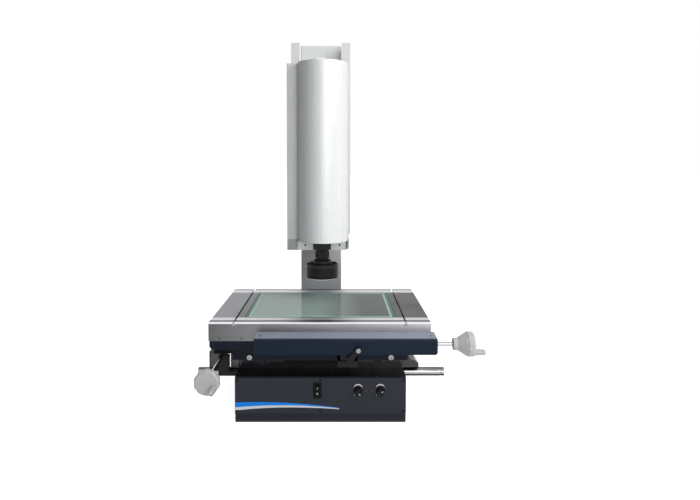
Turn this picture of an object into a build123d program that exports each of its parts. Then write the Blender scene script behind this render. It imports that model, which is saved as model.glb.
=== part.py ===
from build123d import *
import math
import os

# Vision measuring machine, millimetres.
# X to the right, Y to the back, Z up. Origin on the bench, straight below the lens axis.

# Base
base_width = 400.0
base_front = 175.0
base_rear = 415.0
base_height = 108.0
base_wall = 14.0
base_deck = 16.0
base_rib = 8.0
base_rib_inset = 142.0
base_rib_offset = base_width / 2 - base_rib_inset
base_chamfer = 2.0
bottom_sheet = 6.0
panel_thickness = 3.0
panel_bottom_band = 16.0
panel_drop = 1.5
panel_edge_radius = 1.0
light_hole_radius = 24.0

# Panel screws and controls
panel_screw_head_radius = 2.6
panel_screw_head_height = 1.2
panel_screw_radius = 1.5
panel_screw_length = 8.0
panel_screw_inset = 6.0
switch_offset = -7.0
switch_height = 76.0
switch_width = 15.5
switch_tall = 33.0
switch_rim = 2.2
rocker_gap = 0.3
rocker_tilt = 8.0
knob_insets = {"contour_knob": 112.0, "surface_knob": 60.0}
knob_offsets = {name: base_width / 2 - inset for name, inset in knob_insets.items()}
knob_height = 75.0
knob_radius = 9.6
knob_length = 13.0
knob_flutes = 14
knob_groove_width = 1.6
knob_groove_depth = 0.6
knob_stand_off = 1.0
pot_shaft_radius = 3.0
pot_body_radius = 8.0
pot_body_length = 10.0
running_gap = 0.05
knob_rest_angle = {"contour_knob": 140.0, "surface_knob": 50.0}
rocker_half_width = 5.6
rocker_half_tall = 13.2
rocker_foot = 2.0
rocker_stand_out = 0.6
lamp_insets = (93.0, 78.0)
lamp_offsets = [base_width / 2 - inset for inset in lamp_insets]
lamp_radius = 2.0
lamp_stand_out = 1.2

# Inside and at the back of the base
board_thickness = 1.6
board_half_tall = 15.0
supply_length = 160.0
supply_width = 98.0
supply_height = 40.0
supply_clearance = 12.0
inlet_x = -120.0
inlet_z = 58.0
inlet_width = 28.0
inlet_tall = 22.0
inlet_flange = 10.0
socket_places = (40.0, 85.0, 130.0)
socket_width = 18.0
socket_tall = 10.0
socket_plug_length = 6.0
socket_flange = 2.0
socket_post_radius = 2.0
socket_post_length = 4.0
inlet_wall = 3.0
inlet_pin_pitch = 6.0
inlet_pin_drop = 2.0
inlet_pin_half = 3.0

# Carrying bars
bar_radius = 10.5
bar_reach = 102.0
bar_drop = 14.0
bar_socket = 30.0
bar_front = -105.0
bar_rear = 330.0
bar_groove = 1.0

# Way frame and Y guide
way_height = 42.0
way_front = -120.0
way_rear = 215.0
way_screw_radius = 6.5
way_screw_height = 8.0
way_screw_offset = 176.0
way_slot_width = 178.0
way_slot_height = 18.0
way_slot_depth = 12.0
way_light_hole = 36.0
contour_radius = 28.0
contour_drop = 4.0
contour_lens_height = 6.0
stop_reach = 39.0
stop_drop = 2.0
stop_height = 18.0
stop_front = -110.0
stop_depth = 40.0
rail_width = 16.0
guide_height = 10.0
rail_groove = 2.0
rail_gap = 0.3
y_rail_offset = 150.0

# Saddle and X guide
saddle_height = 17.0
saddle_inset = 15.0
saddle_centre = -60.0
light_slot_width = 80.0
x_rail_inset = 16.0
x_rail_length = 380.0
scale_thickness = 12.0
cover_overlap = 6.0

# Table
table_width = 500.0
table_depth = 330.0
table_height = 42.0
table_centre = -60.0
glass_width = 350.0
glass_depth = 250.0
glass_thickness = 8.0
glass_ledge = 8.0
glass_drop = 0.5
glass_gap = 0.4
slot_offset = 193.0
slot_neck = 4.0
slot_neck_depth = 4.4
slot_head = 9.0
slot_head_depth = 3.6
cross_groove_inset = 27.0
cross_groove_width = 3.0
cross_groove_depth = 2.0
table_edge = 0.8
slot_stop_inset = 1.0
slot_stop_length = 10.0
slot_stop_gap = 0.3
accessory_hole_radius = 1.65
accessory_hole_depth = 10.0
accessory_hole_pitch = 50.0
accessory_hole_inset = 25.0
accessory_hole_rise = 6.0
sub_plate_height = 21.0
sub_plate_inset = 2.0
sub_plate_chamfer = 7.0

# X drive
x_box_left = -141.0
x_box_right = 256.0
x_box_depth = 48.0
x_box_top_drop = 21.0
x_box_slope = 3.5
x_box_bottom_drop = 57.0
x_box_wall = 2.5
x_box_radius = 4.0
rod_radius = 5.0
rod_bearing_size = 20.0
rod_bearing_length = 16.0
x_rod_drop = 40.5
x_rod_lead = 24.0
x_nut_offset = 40.0
x_nut_length = 44.0
x_neck_depth = 16.8
lever_pin_radius = 3.0
lever_hub_radius = 6.6
lever_clearance = 2.4
lever_reach = 28.5
lever_grip_radius = 5.5
lever_thickness = 5.0
lever_swing = 25.0
lever_rest_angle = 51.0
lever_grip_length = 7.0

# Handwheels
wheel_radius = 27.5
wheel_hub_radius = 13.5
wheel_bore_depth = 14.0
wheel_cone_length = 28.0
wheel_rim_width = 17.0
wheel_lobes = 10
wheel_lobe_radius = 14.0
wheel_lobe_bite = 1.6
wheel_dome = 0.5
wheel_hub_chamfer = 1.5
wheel_rim_flare = 2.0
crank_offset = 18.5
crank_length = 26.0
crank_root_radius = 8.0
crank_tip_radius = 6.4
crank_pin_radius = 3.0
crank_gap = 0.4
crank_pin_root = 10.0
crank_seat_depth = 10.0
crank_root_step = 2.0
crank_tip_step = 3.0
crank_tip_round = 1.6
crank_tip_recess = 4.0
x_wheel_hub = 293.5
x_crank_angle = 0.0
y_crank_angle = 34.0

# Y drive
y_rod_reach = 36.0
y_rod_offset = base_width / 2 + y_rod_reach
y_rod_height = 144.0
y_wheel_hub = -262.0
y_cover_reach = 65.0
y_cover_outer = base_width / 2 + y_cover_reach
y_cover_drop = 50.0
y_nut_middle = -20.0
y_nut_length = 44.0
y_bearing_front = -140.0
y_bearing_rear = 200.0
y_scale_clearance = 0.8
y_cover_wall = 3.0
y_cover_front = -150.0
y_cover_rear = 100.0
y_scale_width = 20.0
y_scale_height = 40.0

# Column
column_centre = -10.0
column_width = 126.0
column_depth = 100.0
column_front = 276.0
column_top = 970.0
column_wall = 12.0
column_corner = 4.0
column_cap_height = 3.0
column_foot_spread = 26.0
column_foot_height = 22.0
column_bolt_radius = 6.0
column_bolt_head = 9.0
column_bolt_head_height = 12.0
side_cover_width = 26.0
side_cover_outer = 89.0
side_cover_sheet = 2.0
side_cover_depth = 42.0
side_cover_bottom = 392.0
side_bracket_height = 40.0

# Z guide
z_rail_width = 20.0
z_rail_depth = 15.0
z_rail_offset = 42.0
z_rail_foot_gap = 8.0
z_rail_bottom = 400.0
z_rail_top = 925.0
z_block_width = 34.0
z_block_height = 26.0
z_block_foot_gap = 4.0
z_block_length = 62.0
z_block_span = 190.0
z_screw_radius = 6.0
z_screw_lead = 10.0
z_screw_axis_gap = 23.0
z_motor_side = 42.0
z_motor_height = 40.0
z_motor_bottom = 346.0
z_nut_height = 40.0
z_nut_width = 64.0
z_nut_flange = 8.0
z_bearing_height = 16.0
z_bearing_trim = 3.0

# Head
head_bottom = 373.0
head_height = 499.0
head_left = 85.0
head_right = 81.0
head_sheet = 3.0
head_strip_width = 28.0
head_strip_front = 31.0
head_panel_rear = 212.0
louvre_count = 6
louvre_top = 60.0
louvre_pitch = 14.0
louvre_front = 50.0
louvre_rear = 40.0
louvre_tall = 4.0
louvre_round = 1.9
frame_plate = 14.0
frame_web = 12.0
frame_width = 124.0
frame_window = 46.0
frame_web_count = 3
frame_web_edge = 22.0
frame_web_round = 14.0
frame_bottom = 440.0
frame_top = 800.0
end_cap_height = 30.0
cover_radius = 67.0
cover_wall = 2.5
cover_bottom = 399.0
cover_lip = 8.0
lens_plate_thickness = 6.0
lens_radius = 18.5
lens_body_radius = 22.0
lens_core_radius = 15.0
lens_body_length = 150.0
lens_taper_start = 40.0
lens_taper_end = 32.0
lens_waist_length = 8.0
lens_waist_step = 4.0
lens_mount_length = 6.0
lens_mount_step = 7.0
zoom_ring_chamfer = 0.8
zoom_groove_radius = 1.1
clamp_width = 46.0
clamp_height = 17.0
clamp_depth = 56.0
clamp_split = 1.6
clamp_chamfer = 3.0
zoom_ring_height = 26.0
zoom_grooves = 24
collar_radius = 24.7
collar_neck_radius = 19.5
collar_height = 12.0
ring_radius = 43.7
ring_height = 36.0
ring_bottom = 306.5
ring_aperture = 25.0
ring_screw_radius = 1.5
ring_screw_length = 6.0
ring_screw_angles = (20, 140, 260)
ring_lip = 5.0
ring_seat_height = 7.0
ring_seat_width = 4.0
ring_foot_width = 6.0
ring_foot_rise = 2.5
ring_shoulder = 4.0
ring_top_plate = 8.0
lamp_inner_top = 4.6
lamp_inner_bottom = 3.0
lamp_outer_top = 0.2
lamp_outer_bottom = 1.8
camera_size = 52.0
camera_length = 70.0
camera_corner = 5.0
camera_groove_start = 14.0
camera_groove_pitch = 10.0
camera_groove_count = 4
camera_groove_tall = 4.0
camera_groove_depth = 2.0

# Travels
x_travel = 150.0
y_travel_front = 40.0
y_travel_rear = 160.0
z_travel_down = 50.0
z_travel_up = 145.0

# Levels worked out from the sizes above
casting_bottom = bottom_sheet
saddle_length = table_depth - 2 * saddle_inset
x_rail_offset = saddle_length / 2 - x_rail_inset
way_bottom = base_height
way_top = way_bottom + way_height
saddle_bottom = way_top + guide_height
saddle_top = saddle_bottom + saddle_height
sub_bottom = saddle_top + guide_height
sub_top = sub_bottom + sub_plate_height
table_top = sub_top + table_height
glass_top = table_top - glass_drop
glass_bottom = glass_top - glass_thickness
table_front = table_centre - table_depth / 2
table_rear = table_centre + table_depth / 2
base_front_y = -base_front
bar_height = base_height - bar_drop
base_middle_y = (base_rear - base_front) / 2
panel_face_y = base_front_y - panel_thickness
head_top = head_bottom + head_height
head_left_x = column_centre - head_left
head_right_x = column_centre + head_right
cover_centre_y = head_strip_front
clamp_bottom = head_bottom + 10.0
ring_top = ring_bottom + ring_height
collar_top = ring_top + collar_height


# Helpers
def block(x0, x1, y0, y1, z0, z1):
    """A box between two corners."""
    middle = Pos((x0 + x1) / 2, (y0 + y1) / 2, (z0 + z1) / 2)
    return middle * Box(x1 - x0, y1 - y0, z1 - z0)


def bar_x(radius, x0, x1, y, z):
    """A round bar along X."""
    return Pos((x0 + x1) / 2, y, z) * Rot(0, 90, 0) * Cylinder(radius, x1 - x0)


def bar_y(radius, y0, y1, x, z):
    """A round bar along Y."""
    return Pos(x, (y0 + y1) / 2, z) * Rot(90, 0, 0) * Cylinder(radius, y1 - y0)


def bar_z(radius, z0, z1, x, y):
    """A round bar along Z."""
    return Pos(x, y, (z0 + z1) / 2) * Cylinder(radius, z1 - z0)


def turned(points):
    """A solid of revolution about Z from (radius, height) points."""
    profile = make_face(Polyline(*points, close=True))
    return revolve(Plane.XZ * profile, Axis.Z)


def cap_screw(head_radius, head_height, shank_radius, shank_length):
    """A socket cap screw on +Z: head above the origin, shank below it."""
    head = Pos(0, 0, head_height / 2) * Cylinder(head_radius, head_height)
    head = chamfer(head.edges().group_by(Axis.Z)[-1], head_height * 0.08)
    socket = extrude(Plane.XY.offset(head_height) * RegularPolygon(head_radius * 0.5, 6),
                     -head_height / 2)
    shank = Pos(0, 0, -shank_length / 2) * Cylinder(shank_radius, shank_length)
    return head - socket + shank


def rail_profile(width, height):
    """A guide rail section with a V groove along each flank, foot at the origin."""
    half = width / 2
    middle = height / 2
    points = [
        (-half, 0), (half, 0), (half, middle - rail_groove), (half - rail_groove, middle),
        (half, middle + rail_groove), (half, height), (-half, height),
        (-half, middle + rail_groove), (-half + rail_groove, middle), (-half, middle - rail_groove),
    ]
    return make_face(Polyline(*points, close=True))


def facing_front(shape, x, y, z):
    """Turns a piece made on +Z so that it points to the front, and places it."""
    return Pos(x, y, z) * Rot(90, 0, 0) * shape


def fluted(radius, length, flutes, bite):
    """A knob body on +Z with shallow flutes round its side."""
    body = Pos(0, 0, length / 2) * Cylinder(radius, length)
    body = chamfer(body.edges().group_by(Axis.Z)[-1], radius * 0.12)
    groove_radius = radius * 0.16
    for place in PolarLocations(radius + groove_radius - bite, flutes):
        body -= place * Cylinder(groove_radius, length * 3)
    return body


# Base
def make_base_casting():
    """A cast box open below, with a deck, inner ribs and lifting bar sockets."""
    half = base_width / 2
    body = block(-half, half, base_front_y, base_rear, casting_bottom, base_height)
    body = chamfer(body.edges().filter_by(Axis.Z), base_chamfer)
    deck_under = base_height - base_deck
    inner_half = half - base_wall
    hollow = block(-inner_half, inner_half, base_front_y + base_wall, base_rear - base_wall,
                   casting_bottom, deck_under)
    body -= hollow
    for x in (-base_rib_offset, base_rib_offset):
        body += block(x - base_rib / 2, x + base_rib / 2, base_middle_y, base_rear - base_wall,
                      casting_bottom + base_wall, deck_under)
    for side in (-1, 1):
        for y in (bar_front, bar_rear):
            boss_in = side * (half - bar_socket)
            reach = bar_radius + base_wall / 2
            body += block(*sorted((side * inner_half, boss_in)), y - reach, y + reach,
                          bar_height - reach, deck_under)
            body -= bar_x(bar_radius, *sorted((side * half, boss_in + side * base_rib)), y, bar_height)
    body -= bar_z(light_hole_radius, deck_under, base_height, 0, 0)
    body -= block(inlet_x - inlet_width / 2, inlet_x + inlet_width / 2,
                  base_rear - base_wall, base_rear, inlet_z - inlet_tall / 2, inlet_z + inlet_tall / 2)
    for x in socket_places:
        body -= block(x - socket_width / 2, x + socket_width / 2,
                      base_rear - base_wall, base_rear, inlet_z - socket_tall / 2, inlet_z + socket_tall / 2)
    body -= switch_opening(base_front_y, base_front_y + base_wall)
    for offset in knob_offsets.values():
        body -= bar_y(pot_body_radius + rocker_gap, base_front_y, base_front_y + base_wall, offset,
                      knob_height)
    for offset in lamp_offsets:
        body -= bar_y(lamp_radius, base_front_y, base_front_y + base_wall, offset, knob_height)
    for x, z in panel_screw_places():
        body -= bar_y(panel_screw_radius, base_front_y, base_front_y + panel_screw_length, x, z)
    return body


def switch_opening(y0, y1):
    """The rectangular hole that the switch snaps into."""
    return block(switch_offset - switch_width / 2, switch_offset + switch_width / 2, y0, y1,
                 switch_height - switch_tall / 2, switch_height + switch_tall / 2)


def panel_screw_places():
    """Three screws along the top and three along the bottom of the panel."""
    reach = base_width / 2 - panel_screw_inset
    levels = (casting_bottom + panel_bottom_band + panel_screw_inset,
              base_height - panel_drop - panel_screw_inset)
    return [(x, z) for x in (-reach, 0, reach) for z in levels]


def make_bottom_cover():
    """The flat sheet that closes the base and rests on the bench."""
    half = base_width / 2
    sheet = block(-half, half, base_front_y, base_rear, 0, bottom_sheet)
    return chamfer(sheet.edges().filter_by(Axis.Z), base_chamfer)


def make_front_panel():
    """The control panel sheet on the front of the base."""
    half = base_width / 2
    bottom = casting_bottom + panel_bottom_band
    panel = block(-half, half, panel_face_y, base_front_y, bottom, base_height - panel_drop)
    panel = fillet(panel.edges().group_by(Axis.Y)[0], panel_edge_radius)
    panel -= switch_opening(panel_face_y, base_front_y)
    for offset in knob_offsets.values():
        panel -= bar_y(pot_shaft_radius + rocker_gap, panel_face_y, base_front_y, offset, knob_height)
    for offset in lamp_offsets:
        panel -= bar_y(lamp_radius, panel_face_y, base_front_y, offset, knob_height)
    for x, z in panel_screw_places():
        panel -= bar_y(panel_screw_radius, panel_face_y, base_front_y, x, z)
    return panel


def make_panel_screws():
    """Six screws that hold the front panel."""
    screw = cap_screw(panel_screw_head_radius, panel_screw_head_height, panel_screw_radius,
                      panel_screw_length)
    return [facing_front(screw, x, panel_face_y, z) for x, z in panel_screw_places()]


def make_switch_bezel():
    """The frame of the power switch, with its rim on the panel and its body behind."""
    opening = switch_opening(panel_face_y, base_front_y + base_wall)
    rim = block(switch_offset - switch_width / 2 - switch_rim,
                switch_offset + switch_width / 2 + switch_rim,
                panel_face_y - panel_drop, panel_face_y,
                switch_height - switch_tall / 2 - switch_rim, switch_height + switch_tall / 2 + switch_rim)
    rim = chamfer(rim.edges().group_by(Axis.Y)[0], panel_drop / 2)
    well = block(switch_offset - rocker_half_width - rocker_gap,
                 switch_offset + rocker_half_width + rocker_gap,
                 panel_face_y - panel_drop, base_front_y + rocker_gap,
                 switch_height - rocker_half_tall - rocker_gap * 2,
                 switch_height + rocker_half_tall + rocker_gap * 2)
    return opening + rim - well


def make_power_rocker():
    """The rocker: two flat faces that meet in a shallow V, tipped about its pivot with the lower half in."""
    half = rocker_half_tall
    rise = half * math.tan(math.radians(rocker_tilt))
    depth = panel_thickness + rocker_stand_out
    points = [(-depth - rise, half), (-depth, 0), (-depth - rise, -half), (-panel_thickness, -half * 0.9),
              (0, -rocker_foot), (0, rocker_foot), (-panel_thickness, half * 0.9)]
    side = make_face(Polyline(*points, close=True))
    rocker = extrude(Plane.YZ.offset(-rocker_half_width) * side, rocker_half_width * 2)
    return Pos(switch_offset, base_front_y, switch_height) * Rot(rocker_tilt, 0, 0) * rocker


def make_knob(name):
    """A fluted knob with a pointer groove on its face, bored for its shaft."""
    knob = fluted(knob_radius, knob_length, knob_flutes, knob_radius * 0.06)
    groove = Pos(0, knob_radius * 0.55, knob_length) * Box(knob_groove_width, knob_radius * 0.8,
                                                           knob_groove_depth * 2)
    bore_depth = knob_length * 0.6
    bore = Pos(0, 0, bore_depth / 2) * Cylinder(pot_shaft_radius + running_gap, bore_depth)
    knob = Rot(0, 0, -knob_rest_angle[name]) * (knob - groove) - bore
    return facing_front(knob, knob_offsets[name], panel_face_y - knob_stand_off, knob_height)


def make_potentiometers():
    """Two potentiometers: a round body behind the panel and a shaft into the knob."""
    shaft_tip = panel_face_y - knob_stand_off - knob_length * 0.5
    pots = []
    for offset in knob_offsets.values():
        body = bar_y(pot_body_radius, base_front_y, base_front_y + pot_body_length, offset, knob_height)
        pots.append(body + bar_y(pot_shaft_radius, shaft_tip, base_front_y, offset, knob_height))
    return pots


def make_limit_lamps():
    """Two small domed lamps that light at the ends of the Z travel."""
    lamps = []
    for offset in lamp_offsets:
        stem = bar_y(lamp_radius, panel_face_y - lamp_stand_out, base_front_y + base_wall, offset,
                     knob_height)
        lamps.append(fillet(stem.edges().group_by(Axis.Y)[0], lamp_radius * 0.5))
    return lamps


def make_control_board():
    """The lamp driver board behind the controls, carried by the potentiometers."""
    y0 = base_front_y + pot_body_length
    left = min(knob_offsets.values()) - pot_body_radius * 2
    right = max(knob_offsets.values()) + pot_body_radius * 2
    board = block(left, right, y0 + base_wall, y0 + base_wall + board_thickness,
                  knob_height - board_half_tall, knob_height + board_half_tall)
    for offset in knob_offsets.values():
        board += bar_y(pot_body_radius * 0.8, y0, y0 + base_wall, offset, knob_height)
    return board


def make_power_supply():
    """The power supply, a vented case on the bottom cover."""
    x0 = -base_width / 2 + base_wall + supply_clearance
    y0 = base_rear - base_wall - supply_clearance - supply_length
    case = block(x0, x0 + supply_width, y0, y0 + supply_length, bottom_sheet,
                 bottom_sheet + supply_height)
    top = Pos(x0 + supply_width / 2, y0 + supply_length / 2, bottom_sheet + supply_height)
    for place in GridLocations(supply_width / 6, 1, 4, 1):
        case -= top * place * Box(supply_width / 18, supply_length * 0.6, supply_height / 10)
    return case


def make_mains_inlet():
    """The rear mains inlet: a flanged socket with three contact pins in its well."""
    flange = block(inlet_x - inlet_width / 2 - inlet_flange, inlet_x + inlet_width / 2 + inlet_flange,
                   base_rear, base_rear + panel_thickness,
                   inlet_z - inlet_tall / 2 - panel_thickness, inlet_z + inlet_tall / 2 + panel_thickness)
    flange = chamfer(flange.edges().filter_by(Axis.Y), panel_thickness / 2)
    body = block(inlet_x - inlet_width / 2, inlet_x + inlet_width / 2, base_rear - base_wall, base_rear,
                 inlet_z - inlet_tall / 2, inlet_z + inlet_tall / 2)
    half_wide = inlet_width / 2 - inlet_wall
    half_tall = inlet_tall / 2 - inlet_wall
    well = block(inlet_x - half_wide, inlet_x + half_wide, base_rear - base_wall + 2,
                 base_rear + panel_thickness, inlet_z - half_tall, inlet_z + half_tall)
    inlet = flange + body - well
    for dx in (-inlet_pin_pitch, 0, inlet_pin_pitch):
        lift = inlet_pin_drop if dx == 0 else -inlet_pin_drop
        inlet += block(inlet_x + dx - 1, inlet_x + dx + 1, base_rear - base_wall + 1, base_rear,
                       inlet_z + lift - inlet_pin_half, inlet_z + lift + inlet_pin_half)
    return inlet


def make_data_sockets():
    """Three rear sockets for the scales and the camera, with their screw posts."""
    sockets = []
    for x in socket_places:
        plate = block(x - socket_width, x + socket_width, base_rear, base_rear + socket_flange,
                      inlet_z - socket_tall * 0.8, inlet_z + socket_tall * 0.8)
        plate = fillet(plate.edges().filter_by(Axis.Y), 2)
        plug = make_face(Polyline((-0.5, 0.5), (0.5, 0.5), (0.42, -0.5), (-0.42, -0.5), close=True))
        plug = extrude(Plane.XZ * scale(plug, by=(socket_width * 0.9, socket_tall * 0.9, 1)),
                       socket_plug_length)
        plate += Pos(x, base_rear + socket_plug_length + 1, inlet_z) * plug
        plate += block(x - socket_width / 2, x + socket_width / 2, base_rear - base_wall, base_rear,
                       inlet_z - socket_tall / 2, inlet_z + socket_tall / 2)
        for dx in (-socket_width * 0.75, socket_width * 0.75):
            post_end = base_rear + socket_flange + socket_post_length
            plate += bar_y(socket_post_radius, base_rear + socket_flange, post_end, x + dx, inlet_z)
        sockets.append(plate)
    return sockets


def make_carrying_bars():
    """Four round steel bars pushed into the sides of the base, each with a grooved end."""
    bars = []
    half = base_width / 2
    for side in (-1, 1):
        for y in (bar_front, bar_rear):
            inner = side * (half - bar_socket + base_rib)
            tip = side * (half + bar_reach)
            bar = bar_x(bar_radius, *sorted((inner, tip)), y, bar_height)
            end = bar.faces().sort_by(Axis.X)[0 if side < 0 else -1]
            bar = chamfer(end.edges(), bar_groove)
            near = side * (half + bar_reach * 0.9)
            ring = bar_x(bar_radius * 1.2, *sorted((near, near + side * bar_groove * 2)), y, bar_height)
            ring -= bar_x(bar_radius - bar_groove, *sorted((near, near + side * bar_groove * 2)), y,
                          bar_height)
            bars.append(bar - ring)
    return bars


# Way frame and Y guide
def make_way_frame():
    """The cast frame on the base deck that carries the Y rails, with the light well through it."""
    half = base_width / 2
    frame = block(-half, half, way_front, way_rear, way_bottom, way_top)
    frame = chamfer(frame.edges().filter_by(Axis.Z), base_chamfer)
    frame -= bar_z(way_light_hole, way_bottom, way_top, 0, 0)
    slot_middle = way_bottom + way_height * 0.48
    frame -= block(-way_slot_width / 2, way_slot_width / 2, way_front, way_front + way_slot_depth,
                   slot_middle - way_slot_height / 2, slot_middle + way_slot_height / 2)
    frame -= block(-half, half, way_front, way_front + panel_screw_head_height,
                   way_top - way_slot_depth / 4, way_top)
    for x in (-way_screw_offset, way_screw_offset):
        frame -= bar_y(way_screw_radius * 0.6, way_front, way_front + way_screw_height * 2, x,
                       way_screw_level())
    return frame


def way_screw_level():
    """The height of the two cap screws in the front of the way frame."""
    return way_top - way_height * 0.32


def make_way_screws():
    """Two large cap screws in the front face of the way frame."""
    screw = cap_screw(way_screw_radius, way_screw_height, way_screw_radius * 0.6, way_screw_height * 2)
    return [facing_front(screw, x, way_front, way_screw_level()) for x in (-way_screw_offset,
                                                                           way_screw_offset)]


def guide_rail(length):
    """A grooved rail along +Y from the origin, as tall as the guide less its gap."""
    profile = rail_profile(rail_width, guide_height - rail_gap)
    return extrude(Plane.XZ * profile, -length)


def guide_runner(length, side):
    """A runner along +Y with a V ridge that enters the rail's groove from one side."""
    height = guide_height - rail_gap
    middle = height / 2
    inner = rail_width / 2 + rail_gap
    ridge = rail_width / 2 - rail_groove + rail_gap * 1.4
    points = [(inner, rail_gap), (inner, middle - rail_groove), (ridge, middle),
              (inner, middle + rail_groove),
              (inner, guide_height), (inner + rail_width, guide_height), (inner + rail_width, rail_gap)]
    points = [(side * x, z) for x, z in points]
    return extrude(Plane.XZ * make_face(Polyline(*points, close=True)), -length)


def make_y_rails():
    """Two grooved rails along Y on the way frame."""
    rail = guide_rail(way_rear - way_front)
    return [Pos(x, way_front, way_top) * rail for x in (-y_rail_offset, y_rail_offset)]


def make_y_runners():
    """Two runners under the saddle, one on the inner side of each Y rail."""
    start = saddle_centre - saddle_length / 2
    return [Pos(side * y_rail_offset, start, way_top) * guide_runner(saddle_length,
                                                                     -side) for side in (-1, 1)]


def make_y_scale():
    """A ribbed aluminium scale housing on the left side of the way frame."""
    right = -base_width / 2
    bottom = way_bottom + y_scale_clearance
    scale_body = block(right - y_scale_width, right, way_front, way_rear, bottom, bottom + y_scale_height)
    pitch = y_scale_height / 6
    for step in range(1, 6):
        z = bottom + step * pitch
        scale_body -= block(right - y_scale_width, right - y_scale_width + 1.2, way_front, way_rear,
                            z - 1, z + 1)
    return scale_body


def make_contour_light():
    """The black barrel of the contour light: a flange on the deck, a waist and a lens seat."""
    floor = base_height
    top = way_top - contour_drop
    points = [(0, floor - base_deck), (light_hole_radius - rail_gap, floor - base_deck),
              (light_hole_radius - rail_gap, floor), (way_light_hole - 2, floor), (way_light_hole - 2,
                                                                                   floor + 4),
              (contour_radius, floor + 4), (contour_radius, top), (contour_radius - 3, top),
              (contour_radius - 3, top - contour_lens_height), (0, top - contour_lens_height)]
    return turned(points)


def make_contour_lens():
    """The domed lens on top of the contour light."""
    top = way_top - contour_drop
    radius = contour_radius - 3
    disc = bar_z(radius, top - contour_lens_height, top, 0, 0)
    return fillet(disc.edges().group_by(Axis.Z)[-1], contour_lens_height * 0.6)


def make_travel_stop():
    """A block with a sloped end on the right side of the way frame."""
    x0 = base_width / 2
    bottom = way_bottom - stop_drop
    stop = block(x0, x0 + stop_reach, stop_front, stop_front + stop_depth, bottom, bottom + stop_height)
    edge = stop.edges().filter_by(Axis.Y).sort_by(lambda e: e.center().X + e.center().Z)[-1]
    return chamfer(edge, stop_height * 0.45)


# Saddle
def make_saddle():
    """The Y slide plate, with a long slot that keeps the light path open over its travel."""
    half = base_width / 2
    y0 = saddle_centre - saddle_length / 2
    y1 = saddle_centre + saddle_length / 2
    plate = block(-half, half, y0, y1, saddle_bottom, saddle_top)
    plate = chamfer(plate.edges().filter_by(Axis.Z), base_chamfer)
    margin = light_slot_width * 0.4
    slot = block(-light_slot_width / 2, light_slot_width / 2, -y_travel_rear - margin,
                 y_travel_front + margin,
                 saddle_bottom, saddle_top)
    slot = fillet(slot.edges().filter_by(Axis.Z), light_slot_width * 0.25)
    return plate - slot


def make_x_rails():
    """Two grooved rails along X on the saddle."""
    rail = Pos(-x_rail_length / 2, 0, 0) * Rot(0, 0, -90) * guide_rail(x_rail_length)
    return [Pos(0, saddle_centre + offset, saddle_top) * rail for offset in (-x_rail_offset,
                                                                             x_rail_offset)]


def make_x_scale():
    """The X scale housing along the back of the saddle."""
    y0 = saddle_centre + saddle_length / 2
    body = block(-x_rail_length / 2, x_rail_length / 2, y0, y0 + scale_thickness, saddle_bottom,
                 saddle_top)
    groove = block(-x_rail_length / 2, x_rail_length / 2, y0 + scale_thickness / 3,
                   y0 + scale_thickness * 2 / 3,
                   saddle_top - 2, saddle_top)
    return body - groove


def make_y_cover():
    """The bent sheet cover of the Y drive: a top flange under the saddle and an outer wall."""
    left = -y_cover_outer
    right = -base_width / 2 + cover_overlap
    top = saddle_bottom
    points = [(right, top), (right, top - y_cover_wall), (left + y_cover_wall, top - y_cover_wall),
              (left + y_cover_wall, top - y_cover_drop), (left, top - y_cover_drop), (left, top)]
    profile = make_face(Polyline(*points, close=True))
    cover = extrude(Plane.XZ.offset(-y_cover_front) * profile, -(y_cover_rear - y_cover_front))
    outer = cover.edges().filter_by(Axis.Y).sort_by(lambda e: e.center().Z - e.center().X)[-1]
    return fillet(outer, y_cover_wall * 0.8)


def make_y_nut():
    """The Y drive nut: a rounded block that hangs from the cover's flange round the rod."""
    half = rod_bearing_size * 0.7
    top = saddle_bottom - y_cover_wall
    nut = block(-y_rod_offset - half, -y_rod_offset + half, y_nut_middle - y_nut_length / 2,
                y_nut_middle + y_nut_length / 2, y_rod_height - half, top)
    nut = fillet(nut.edges().filter_by(Axis.Y).group_by(Axis.Z)[0], half * 0.5)
    return nut - bar_y(rod_radius + running_gap, y_nut_middle - y_nut_length, y_nut_middle + y_nut_length,
                       -y_rod_offset, y_rod_height)


def make_y_reader():
    """The reader head above the Y scale."""
    right = -base_width / 2 - y_scale_clearance
    bottom = way_bottom + y_scale_clearance * 2 + y_scale_height
    top = saddle_bottom - y_cover_wall
    return block(right - y_scale_width * 0.8, right, y_nut_middle - y_nut_length, y_nut_middle,
                 bottom, top)


def make_y_rod_bearings():
    """Two bearing brackets on the left side of the base that hold the Y rod."""
    side = -base_width / 2
    low = y_rod_height - rod_bearing_size * 2.4
    brackets = []
    for y in (y_bearing_front, y_bearing_rear):
        y1 = y + rod_bearing_length
        arm = block(-y_rod_offset - rod_bearing_size / 2, side, y, y1, low,
                    way_bottom - y_scale_clearance * 2)
        post = block(-y_rod_offset - rod_bearing_size / 2, side - y_scale_width - y_scale_clearance,
                     y, y1,
                     low, y_rod_height)
        head = bar_y(rod_bearing_size / 2, y, y1, -y_rod_offset, y_rod_height)
        hole = bar_y(rod_radius + running_gap, y, y1, -y_rod_offset, y_rod_height)
        brackets.append(arm + post + head - hole)
    return brackets


# Drive rods and handwheels
def make_rod(length):
    """A polished rod on +Z from the origin with a small chamfer at each end."""
    rod = Pos(0, 0, length / 2) * Cylinder(rod_radius, length)
    return chamfer(rod.edges().filter_by(GeomType.CIRCLE), 0.5)


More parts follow.
